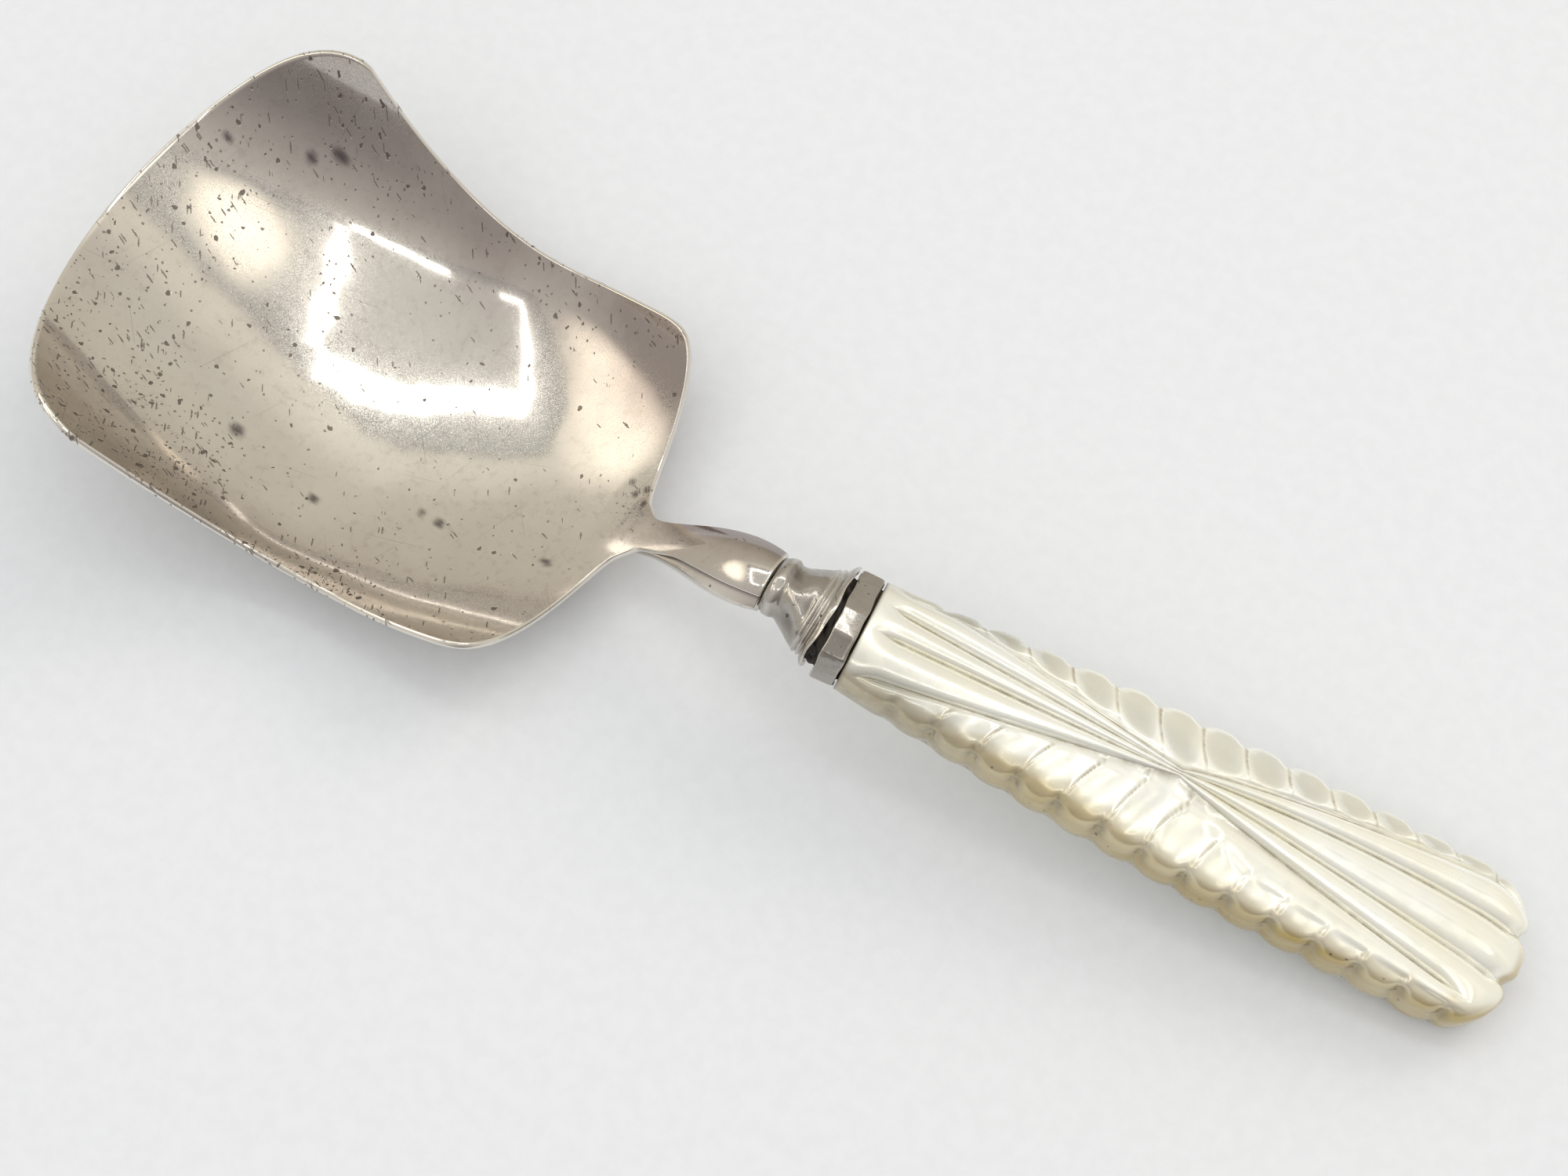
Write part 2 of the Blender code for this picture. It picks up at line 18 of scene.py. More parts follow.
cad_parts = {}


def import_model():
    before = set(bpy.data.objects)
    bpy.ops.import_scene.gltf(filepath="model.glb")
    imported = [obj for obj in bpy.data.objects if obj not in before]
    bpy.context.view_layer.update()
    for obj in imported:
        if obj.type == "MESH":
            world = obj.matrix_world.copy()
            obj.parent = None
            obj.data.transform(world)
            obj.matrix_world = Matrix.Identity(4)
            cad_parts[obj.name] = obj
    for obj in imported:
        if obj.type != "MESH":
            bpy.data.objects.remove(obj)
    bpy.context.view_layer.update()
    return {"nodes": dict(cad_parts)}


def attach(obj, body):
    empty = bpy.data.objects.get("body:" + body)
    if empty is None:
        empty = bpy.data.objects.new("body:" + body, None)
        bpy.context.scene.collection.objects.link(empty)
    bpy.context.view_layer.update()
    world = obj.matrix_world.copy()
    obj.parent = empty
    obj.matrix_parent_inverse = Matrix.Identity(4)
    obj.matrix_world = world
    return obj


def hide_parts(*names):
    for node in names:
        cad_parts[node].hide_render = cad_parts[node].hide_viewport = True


Array = np.ndarray
Item = bpy.types.Object
Material = bpy.types.Material
Node = bpy.types.Node
Socket = bpy.types.NodeSocket
Pair = tuple[float, float]
Triple = tuple[float, float, float]
Span = tuple[float, float, float, float]
Values = dict[str, Array | float]
LOG = logging.getLogger("caddy_spoon")
BODY = "root"
TINY = 1e-12
MILLIMETRES = 1000.0


class Slot(Enum):
    """Material slots of the record."""

    SILVER = "silver"
    WORN_SILVER = "worn_silver"
    PEARL = "mother_of_pearl"
    PITCH = "pitch"


def smooth(value: Array | float, start: float, end: float) -> Array:
    """Ease from 0 at start to 1 at end.

    Args:
        value: Where to read the ease.
        start: Value that gives 0.
        end: Value that gives 1.

    Returns:
        The eased share, three times its square less twice its cube.
    """
    share = np.clip((np.asarray(value, float) - start) / (end - start), 0.0, 1.0)
    return share * share * (3.0 - 2.0 * share)


def signed_power(value: Array, power: Array | float) -> Array:
    """A power of the size of a value, with the sign of the value."""
    return np.sign(value) * np.abs(value) ** power


def turns(count: int) -> Array:
    """Even turns round a circle, from 0."""
    return np.linspace(0.0, math.tau, count, endpoint=False)


def grid_of(*coordinates: Array) -> Array:
    """Points from their coordinates, spread out to one shape."""
    return np.stack(np.broadcast_arrays(*coordinates), axis=-1)


@dataclass(frozen=True)
class Band:
    """Where an ease runs: 0 up to low, 1 from high on."""

    low: float
    high: float

    def of(self, value: Array | float) -> Array:
        """Read the ease at a value."""
        return smooth(value, self.low, self.high)

    def left(self, value: Array | float) -> Array:
        """What the ease leaves of 1."""
        return 1.0 - smooth(value, self.low, self.high)


def curve_through(marks: Array, places: Array) -> Array:
    """Read a soft curve through a few marks.

    Args:
        marks: Rows of (place, value), with the places rising.
        places: Where to read the curve.

    Returns:
        Cubic Hermite values, whose slope at each mark is the slope between its neighbours.
    """
    at, value = marks[:, 0], marks[:, 1]
    slope = np.gradient(value, at)
    index = np.clip(np.searchsorted(at, places) - 1, 0, len(at) - 2)
    step = at[index + 1] - at[index]
    share = np.clip((places - at[index]) / step, 0.0, 1.0)
    rise = share * share * (3.0 - 2.0 * share)
    lead = share * (1.0 - share) ** 2 * slope[index]
    trail = share * share * (share - 1.0) * slope[index + 1]
    return value[index] + (value[index + 1] - value[index]) * rise + step * (lead + trail)


def waves(marks: tuple[Span, ...], first: Array, second: Array | float = 0.0) -> Array:
    """Add up sine waves.

    Args:
        marks: One line to a wave: its height, its two rates and its start.
        first: What the first rate multiplies.
        second: What the second rate multiplies.

    Returns:
        The sum of the heights times the sines of the rates times the places plus the start.
    """
    return sum(high * np.sin(rate * first + other * second + start) for high, rate, other, start in marks)


@dataclass
class Mesh:
    """Points and faces of one closed surface, with values that its finish reads at each point."""

    points: Array
    faces: list[list[int]]
    values: Values = field(default_factory=dict)

    @staticmethod
    def weave(rows: int, columns: int, wrap_rows: bool = False, wrap_columns: bool = False) -> Array:
        """Join the points of a grid, row after row, into four-sided faces.

        Args:
            rows: Count of rows.
            columns: Count of points in a row.
            wrap_rows: Join the last row to the first.
            wrap_columns: Join the last column to the first.

        Returns:
            Corner numbers, one face to a line.
        """
        row = np.arange(rows if wrap_rows else rows - 1)[:, None]
        column = np.arange(columns if wrap_columns else columns - 1)[None, :]
        next_row = (row + 1) % rows
        next_column = (column + 1) % columns
        corners = (
            row * columns + column,
            row * columns + next_column,
            next_row * columns + next_column,
            next_row * columns + column,
        )
        return grid_of(*corners).reshape(-1, 4)

    @classmethod
    def tube(cls, grid: Array, values: Values | None = None) -> "Mesh":
        """Close a stack of rings with a pole at each end.

        Args:
            grid: Points as rings, points of a ring, coordinates.
            values: Values at the grid's points.

        Returns:
            The closed surface.
        """
        rows, columns = grid.shape[:2]
        points = np.concatenate([grid.reshape(-1, 3), grid[:1].mean(axis=1), grid[-1:].mean(axis=1)])
        faces = cls.weave(rows, columns, wrap_columns=True).tolist()
        ring = np.arange(columns)
        following = (ring + 1) % columns
        last = (rows - 1) * columns
        first_pole, last_pole = rows * columns, rows * columns + 1
        faces += np.stack([following, ring, np.full(columns, first_pole)], axis=-1).tolist()
        faces += np.stack([last + ring, last + following, np.full(columns, last_pole)], axis=-1).tolist()
        kept = {}
        for name, value in (values or {}).items():
            spread = np.broadcast_to(value, (rows, columns))
            kept[name] = np.concatenate([spread.ravel(), spread[:1].mean(axis=1), spread[-1:].mean(axis=1)])
        return cls(points, faces, kept)

    @classmethod
    def ring(cls, grid: Array, values: Values | None = None) -> "Mesh":
        """Close a grid on itself both ways, as a profile carried round a ring.

        Args:
            grid: Points as stations of the profile, points round the ring, coordinates.
            values: Values at the grid's points.

        Returns:
            The closed surface.
        """
        rows, columns = grid.shape[:2]
        faces = cls.weave(rows, columns, wrap_rows=True, wrap_columns=True).tolist()
        kept = {}
        for name, value in (values or {}).items():
            kept[name] = np.broadcast_to(value, (rows, columns)).ravel()
        return cls(grid.reshape(-1, 3), faces, kept)

    def turn_out(self) -> None:
        """Turn the faces over if the signed volume says that they point inwards."""
        corners = np.array([face[:3] for face in self.faces])
        far = np.array([[face[0], face[2], face[-1]] for face in self.faces if len(face) == 4])
        triangles = np.concatenate([corners, far]) if len(far) else corners
        first, second, third = (self.points[triangles[:, corner]] for corner in range(3))
        if np.einsum("ij,ij->i", first, np.cross(second, third)).sum() < 0.0:
            self.faces = [face[::-1] for face in self.faces]

    def piece(self, name: str, material: Material, slot: Slot, *nodes: str) -> Item:
        """Make the Blender object, let it ride on the body and stand for its CAD nodes.

        Args:
            name: Name of the piece.
            material: Its finish.
            slot: Slot of the record; not used.
            nodes: CAD nodes that it replaces.

        Returns:
            The new object, at the origin with its place in its mesh.
        """
        self.turn_out()
        mesh = bpy.data.meshes.new(name)
        mesh.from_pydata(self.points.tolist(), [], self.faces)
        for key, value in self.values.items():
            layer = mesh.attributes.new(key, "FLOAT", "POINT")
            layer.data.foreach_set("value", np.ascontiguousarray(value, np.float32))
        mesh.materials.append(material)
        mesh.shade_smooth()
        mesh.update()
        item = bpy.data.objects.new(name, mesh)
        bpy.context.scene.collection.objects.link(item)
        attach(item, BODY)
        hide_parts(*nodes)
        LOG.info("%s: %d points, %d faces", name, len(self.points), len(self.faces))
        return item


class NodeBench:
    """Adds and wires the nodes of one material or of the world."""

    def __init__(self, owner: Material | bpy.types.World, coordinates: str = "Object") -> None:
        """Take over the owner's node tree.

        Args:
            owner: Material or world.
            coordinates: Which texture coordinates its patterns read.
        """
        owner.use_nodes = True
        self.owner = owner
        self.tree = owner.node_tree
        self.place = self.add("ShaderNodeTexCoord").outputs[coordinates]

    @classmethod
    def of_material(cls, name: str) -> "NodeBench":
        """Start a new material of that name."""
        return cls(bpy.data.materials.new(name))

    def add(self, kind: str, **inputs: object) -> Node:
        """Add a node of that kind and feed its sockets, named with _ for a space."""
        node = self.tree.nodes.new(kind)
        self.feed_named(node, inputs)
        return node

    def feed(self, socket: Socket, value: object) -> None:
        """Link a socket to another, or set its own value."""
        if isinstance(value, Socket):
            self.tree.links.new(value, socket)
        else:
            socket.default_value = value

    def feed_named(self, node: Node, inputs: dict[str, object]) -> None:
        """Feed a node's sockets by name."""
        for key, value in inputs.items():
            self.feed(node.inputs[key.replace("_", " ")], value)

    def feed_row(self, node: Node, terms: tuple[object, ...]) -> None:
        """Feed a node's first sockets in their order."""
        for socket, term in zip(node.inputs, terms):
            self.feed(socket, term)

    def set(self, **values: object) -> None:
        """Feed the shader's sockets, named with _ for a space."""
        self.feed_named(self.tree.nodes["Principled BSDF"], values)

    def attribute(self, name: str) -> Socket:
        """A value that the piece carries at its points."""
        node = self.add("ShaderNodeAttribute")
        node.attribute_name = name
        return node.outputs["Fac"]

    def turned(self, stretch: Triple, turn: float = 0.0, place: Socket | None = None) -> Socket:
        """The place on the piece, turned about Z and then stretched along the turned axes.

        Args:
            stretch: How many times denser the pattern is along each axis.
            turn: Angle about Z.
            place: Coordinates to start from.

        Returns:
            The changed coordinates.
        """
        scale = tuple(1.0 / part for part in stretch)
        place = place or self.place
        node = self.add("ShaderNodeMapping", Vector=place, Rotation=(0.0, 0.0, turn), Scale=scale)
        node.vector_type = "TEXTURE"
        return node.outputs["Vector"]

    def operate(self, kind: str, operation: str, terms: tuple[object, ...]) -> Node:
        """Add a node of arithmetic.

        Args:
            kind: Kind of node.
            operation: What it does.
            terms: What it does it to.

        Returns:
            The node.
        """
        node = self.add(kind)
        node.operation = operation
        self.feed_row(node, terms)
        return node

    def vector(self, operation: str, *terms: object, output: str = "Vector") -> Socket:
        """One step of arithmetic on vectors."""
        return self.operate("ShaderNodeVectorMath", operation, terms).outputs[output]

    def ragged(self, scale: float, reach: float) -> Socket:
        """The place on the piece, shaken by cloudy noise up to that reach."""
        cloud = self.add("ShaderNodeTexNoise", Vector=self.place, Scale=scale).outputs["Color"]
        return self.vector("MULTIPLY_ADD", cloud, (reach, reach, reach), self.place)

    def dot(self, axis: Triple) -> Socket:
        """How far the place lies along an axis."""
        return self.vector("DOT_PRODUCT", self.place, axis, output="Value")

    def noise(self, scale: float, detail: float = 2.0, rough: float = 0.5,
              place: Socket | None = None) -> Socket:
        """Cloudy noise, with scale in cells to a metre."""
        place = place or self.place
        node = self.add("ShaderNodeTexNoise", Vector=place, Scale=scale, Detail=detail, Roughness=rough)
        return node.outputs["Fac"]

    def cells(self, scale: float, place: Socket | None = None,
              flat: bool = False) -> tuple[Socket, Socket, Socket]:
        """Scattered points, with scale in cells to a metre.

        Args:
            scale: Density.
            place: Coordinates.
            flat: Scatter them in plan, so that each point is a column.

        Returns:
            Distance from the nearest point in cells, and two chance values of its cell.
        """
        node = self.add("ShaderNodeTexVoronoi", Vector=place or self.place, Scale=scale)
        node.voronoi_dimensions = "2D" if flat else "3D"
        split = self.add("ShaderNodeSeparateColor", Color=node.outputs["Color"])
        return node.outputs["Distance"], split.outputs["Red"], split.outputs["Green"]

    def math(self, operation: str, *terms: object, clamp: bool = True) -> Socket:
        """One step of arithmetic on up to three terms, kept from 0 to 1 where it clamps."""
        node = self.operate("ShaderNodeMath", operation, terms)
        node.use_clamp = clamp
        return node.outputs["Value"]

    def plain(self, operation: str, *terms: object) -> Socket:
        """One step of arithmetic that may leave 0 to 1."""
        return self.math(operation, *terms, clamp=False)

    def times(self, first: object, second: object) -> Socket:
        """The product of two values, kept from 0 to 1."""
        return self.math("MULTIPLY", first, second)

    def span(self, value: Socket, low: float, high: float, start: float = 0.0, end: float = 1.0) -> Socket:
        """Carry a value from low..high onto start..end, eased at both ends."""
        node = self.add(
            "ShaderNodeMapRange", Value=value, From_Min=low, From_Max=high, To_Min=start, To_Max=end)
        node.interpolation_type = "SMOOTHSTEP"
        return node.outputs["Result"]

    def mix(self, share: object, first: object, second: object) -> Socket:
        """Mix two colours.

        Args:
            share: How much of the second.
            first: Colour or socket.
            second: Colour or socket.

        Returns:
            The mixed colour.
        """
        node = self.add("ShaderNodeMix")
        node.data_type = "RGBA"
        colours = [socket for socket in node.inputs if socket.type == "RGBA"]
        self.feed(node.inputs[0], share)
        for socket, value in zip(colours, (first, second)):
            self.feed(socket, value if isinstance(value, Socket) else (*value, 1.0))
        return next(socket for socket in node.outputs if socket.type == "RGBA")

    def choose(self, share: Socket, first: Socket, second: Socket) -> Socket:
        """Mix two shaders."""
        node = self.add("ShaderNodeMixShader")
        self.feed_row(node, (share, first, second))
        return node.outputs["Shader"]

    def bump(self, height: Socket, depth: float, under: Socket | None = None) -> Socket:
        """Relief from a height.

        Args:
            height: Height, from 0 to 1.
            depth: What a height of 1 stands for, in metres.
            under: Relief that it lies on.

        Returns:
            The changed normal.
        """
        node = self.add("ShaderNodeBump", Distance=depth, Height=height)
        if under is not None:
            self.feed(node.inputs["Normal"], under)
        return node.outputs["Normal"]


@dataclass(frozen=True)
class SilverFinish:
    """Old silver: warm grey metal with brown tarnish, pits, dashes, scratches and bright worn edges."""

    name: str
    bright: Triple = (0.80, 0.765, 0.70)
    dull: Triple = (0.75, 0.71, 0.65)
    tarnish: Triple = (0.36, 0.315, 0.295)
    dirt: Triple = (0.12, 0.095, 0.075)
    stain_and_shade_colour: Triple = (0.17, 0.15, 0.15)
    cloud_noise: Triple = (170.0, 4.0, 0.6)
    cloud_span: Pair = (0.3, 0.75)
    brown_span: Span = (0.2, 0.75, 0.75, 1.0)
    patch_span: Span = (0.3, 0.6, 0.4, 1.0)
    crowd_scale: float = 230.0
    crowd_span: Span = (0.38, 0.64, 0.3, 1.6)
    grain_noise: Triple = (1400.0, 3.0, 0.6)
    grain_span: Pair = (0.5, 0.72)
    mottle: float = 0.2
    pit_scale: float = 850.0
    pit_size: float = 0.18
    pit_depth: float = 0.00004
    fleck_scale: float = 1900.0
    fleck_size: float = 0.20
    fleck_share: float = 0.8
    dash_scale: float = 600.0
    dash_size: float = 0.28
    dash_stretch: float = 7.0
    dash_density: float = 0.3
    dash_share: float = 0.85
    dash_angles: Pair = (-0.35, -1.0)
    scratch_scale: float = 110.0
    scratch_size: float = 0.36
    scratch_stretch: float = 70.0
    scratch_density: float = 0.012
    scratch_share: float = 0.35
    scratch_angles: Triple = (0.3, 1.25, 2.3)
    mark_share: float = 0.8
    mark_rough: float = 0.35
    rag_scale: float = 1.7
    rag_reach: float = 0.55
    least_girth: float = 0.4
    mark_core: float = 0.7
    edge_share: float = 0.85
    haze_scale: float = 12000.0
    haze_span: Pair = (0.4, 0.68)
    gloss: float = 0.05
    matt: float = 0.26
    dent_depth: float = 0.0
    dent_noise: Triple = (420.0, 1.0, 0.4)

    def make(self) -> Material:
        """Wire the material.

        Returns:
            A metal whose pits, tarnish, bright edges and stains follow the values of its piece.  The
            collar's tarnish value is also painted reflection shade, and the rod's stain value painted shade.
        """
        bench = NodeBench.of_material(self.name)
        cloud = bench.noise(*self.cloud_noise)
        marks = self.marks(bench)
        scratches = 0.0
        kind = (self.scratch_scale, self.scratch_size, self.scratch_density, self.scratch_stretch)
        for angle in self.scratch_angles:
            scratches = bench.math("MAXIMUM", scratches, self.spots(bench, *kind, angle))

        metal = bench.mix(bench.span(cloud, *self.cloud_span), self.bright, self.dull)
        # The tarnish value is also painted reflection shade on the collar's facets.
        brown = bench.times(bench.attribute("tarnish"), bench.span(cloud, *self.brown_span))
        metal = bench.mix(brown, metal, self.tarnish)
        grain = bench.noise(*self.grain_noise)
        speckle = bench.span(grain, *self.grain_span, 0.0, self.mottle)
        metal = bench.mix(bench.times(speckle, bench.span(cloud, *self.patch_span)), metal, self.tarnish)
        metal = bench.mix(bench.times(bench.attribute("edge"), self.edge_share), metal, self.bright)
        metal = bench.mix(bench.times(scratches, self.scratch_share), metal, self.tarnish)
        # Stains: real stains on the bowl, and painted shade under the sheet's edge on the rod.
        metal = bench.mix(bench.attribute("stain"), metal, self.stain_and_shade_colour)
        metal = bench.mix(bench.times(marks, self.mark_share), metal, self.dirt)
        bench.set(Base_Color=metal, Metallic=1.0)

        rough = bench.span(bench.noise(self.haze_scale), *self.haze_span, self.gloss, self.matt)
        bench.set(Roughness=bench.math("ADD", rough, bench.times(marks, self.mark_rough)))
        under = None
        if self.dent_depth > 0.0:
            under = bench.bump(bench.noise(*self.dent_noise), self.dent_depth)
        bench.set(Normal=bench.bump(bench.math("SUBTRACT", 1.0, marks), self.pit_depth, under))
        return bench.owner

    def marks(self, bench: NodeBench) -> Socket:
        """Pits, flecks and dashes that crowd together where the piece is pitted.

        Args:
            bench: Where to add the nodes.

        Returns:
            1 in a pit, less in a fleck or a dash, 0 outside.
        """
        crowd = bench.span(bench.noise(self.crowd_scale), *self.crowd_span)
        pitting = bench.times(bench.attribute("pitting"), crowd)
        marks = self.spots(bench, self.pit_scale, self.pit_size, pitting)
        flecks = self.spots(bench, self.fleck_scale, self.fleck_size, pitting)
        marks = bench.math("MAXIMUM", marks, bench.times(flecks, self.fleck_share))
        sparse = bench.times(pitting, self.dash_density)
        for angle in self.dash_angles:
            dashes = self.spots(bench, self.dash_scale, self.dash_size, sparse, self.dash_stretch, angle)
            marks = bench.math("MAXIMUM", marks, bench.times(dashes, self.dash_share))
        return marks

    def spots(self, bench: NodeBench, scale: float, size: float, density: Socket | float,
              stretch: float = 1.0, turn: float = 0.0) -> Socket:
        """Scattered ragged marks: a cell has one if its chance value is under the density.

        Args:
            bench: Where to add the nodes.
            scale: Cells to a metre, along the mark.
            size: Radius of the largest mark in cells.
            density: Share of the cells with a mark.
            stretch: How many times longer than wide a mark is.
            turn: Angle of the marks about Z.

        Returns:
            1 in a mark, 0 outside.
        """
        fine = scale * stretch
        place = bench.ragged(fine * self.rag_scale, self.rag_reach / fine)
        place = bench.turned((1.0, stretch, 1.0), turn, place)
        distance, chance, girth = bench.cells(scale, place, flat=True)
        radius = bench.span(girth, 0.0, 1.0, self.least_girth * size, size)
        inside = bench.span(bench.plain("DIVIDE", distance, radius), self.mark_core, 1.0, 1.0, 0.0)
        return bench.times(inside, bench.math("GREATER_THAN", density, chance))


@dataclass(frozen=True)
class PearlFinish:
    """Carved mother of pearl: creamy layers with a soft sheen, darker in the deep cuts, with painted shade on
    the near wall and the far scoops.
    """

    name: str = "mother_of_pearl_carved"
    cream: Triple = (0.95, 0.93, 0.80)
    milk: Triple = (0.97, 0.965, 0.89)
    amber: Triple = (0.43, 0.315, 0.09)
    grey: Triple = (0.50, 0.485, 0.41)
    groove: Triple = (0.34, 0.29, 0.19)
    darkening: Triple = (0.10, 0.08, 0.05)
    layer_noise: Triple = (90.0, 3.0, 0.55)
    layer_stretch: Triple = (1.0, 3.0, 5.0)
    layer_turn: float = -0.1
    layer_span: Pair = (0.35, 0.65)
    painted_shade_span: Span = (0.3, 0.7, 0.7, 1.0)
    amber_span: Span = (0.25, 0.75, 0.65, 1.0)
    fine_noise: Triple = (810.0, 3.0, 0.6)
    darkening_span: Span = (0.35, 0.7, 0.4, 0.85)
    speck_scale: float = 1700.0
    speck_span: Span = (0.2, 0.36, 1.0, 0.0)
    speck_girth: float = 0.2
    speck_wall: Span = (0.6, 1.0, 0.0, 0.1)
    speck_share: float = 0.75
    metallic: float = 0.52
    coat: float = 0.4
    coat_gloss: float = 0.1
    gloss: float = 0.16
    matt: float = 0.28
    gloss_span: Pair = (0.3, 0.7)
    grain_depth: float = 0.00001

    def make(self) -> Material:
        """Wire the material.

        Returns:
            A pale shell whose amber, groove colour and painted shade grey follow the values wall, cut and
            dusk of its piece, with dark specks in the walls and a dark line at the value seam.
            The amber is partly painted shade of the near side.
        """
        bench = NodeBench.of_material(self.name)
        wall = bench.attribute("wall")
        place = bench.turned(self.layer_stretch, self.layer_turn)
        layers = bench.noise(*self.layer_noise, place)
        fine = bench.noise(*self.fine_noise)
        shell = bench.mix(bench.span(layers, *self.layer_span), self.cream, self.milk)
        # Painted shade: grey where the dusk value says, on the far scoops and the front end.
        dusk = bench.times(bench.attribute("dusk"), bench.span(layers, *self.painted_shade_span))
        shell = bench.mix(dusk, shell, self.grey)
        # Amber on the near wall: partly the shell's own yellow, partly painted shade of the near side.
        shell = bench.mix(bench.times(wall, bench.span(layers, *self.amber_span)), shell, self.amber)
        # Darker towards the groove colour where the cut value says: lines, flutes, notches and facet edges.
        darkened = bench.times(bench.attribute("cut"), bench.span(fine, *self.darkening_span))
        shell = bench.mix(darkened, shell, self.groove)
        distance, chance, girth = bench.cells(self.speck_scale)
        speck = bench.math("ADD", distance, bench.times(girth, self.speck_girth))
        likely = bench.math("GREATER_THAN", bench.span(wall, *self.speck_wall), chance)
        specks = bench.times(bench.span(speck, *self.speck_span), likely)
        shell = bench.mix(bench.times(specks, self.speck_share), shell, self.darkening)
        shell = bench.mix(bench.attribute("seam"), shell, self.darkening)
        bench.set(Base_Color=shell, Metallic=self.metallic)
        bench.set(Coat_Weight=self.coat, Coat_Roughness=self.coat_gloss)
        bench.set(Roughness=bench.span(fine, *self.gloss_span, self.gloss, self.matt))
        bench.set(Normal=bench.bump(fine, self.grain_depth))
        return bench.owner


@dataclass(frozen=True)
class PitchFinish:
    """Dark pitch or cement, dull and lumpy."""

    name: str = "pitch_lumpy"
    dark: Triple = (0.012, 0.010, 0.009)
    brown: Triple = (0.05, 0.036, 0.024)
    lump_noise: Triple = (1500.0, 4.0, 0.6)
    brown_span: Pair = (0.35, 0.7)
    rough_span: Span = (0.3, 0.7, 0.45, 0.85)
    lump_depth: float = 0.0001

    def make(self) -> Material:
        """Wire the material.

        Returns:
            A dull dark stuff, browner and rougher on its lumps.
        """
        bench = NodeBench.of_material(self.name)
        lumps = bench.noise(*self.lump_noise)
        bench.set(Base_Color=bench.mix(bench.span(lumps, *self.brown_span), self.dark, self.brown))
        bench.set(Roughness=bench.span(lumps, *self.rough_span))
        bench.set(Normal=bench.bump(lumps, self.lump_depth))
        return bench.owner


@dataclass(frozen=True)
class IronFinish:
    """Wrought iron with a brown skin of rust."""

    name: str = "iron_rusty"
    steel: Triple = (0.20, 0.19, 0.18)
    rust: Triple = (0.14, 0.07, 0.04)
    rust_noise: Triple = (900.0, 5.0, 0.65)
    rust_span: Pair = (0.42, 0.6)
    metallic: Pair = (0.9, 0.2)
    rough: Pair = (0.4, 0.8)
    rust_depth: float = 0.00004

    def make(self) -> Material:
        """Wire the material.

        Returns:
            A metal that is duller and rougher where it is rusty.
        """
        bench = NodeBench.of_material(self.name)
        rust = bench.span(bench.noise(*self.rust_noise), *self.rust_span)
        bench.set(Base_Color=bench.mix(rust, self.steel, self.rust))
        bench.set(Metallic=bench.span(rust, 0.0, 1.0, *self.metallic))
        bench.set(Roughness=bench.span(rust, 0.0, 1.0, *self.rough))
        bench.set(Normal=bench.bump(rust, self.rust_depth))
        return bench.owner


@dataclass(frozen=True)
class Joint:
    """Where ferrule, collar and handle meet, and how each is turned there."""

    x: float = 0.040
    height: float = 0.0103
    ferrule_tilt: float = math.radians(4.0)
    handle_lean: float = math.radians(5.5)

    def seat(self, points: Array, pitch_down: float, lean: float) -> Array:
        """Carry points from a piece's own axis into the frame.

        Args:
            points: Points about the joint, with +X along the piece.
            pitch_down: Turn about Y.
            lean: Turn about Z, after it.

        Returns:
            The points in the frame.
        """
        turn = Matrix.Rotation(lean, 3, "Z") @ Matrix.Rotation(pitch_down, 3, "Y")
        return points @ np.array(turn).T + np.array((self.x, 0.0, self.height))


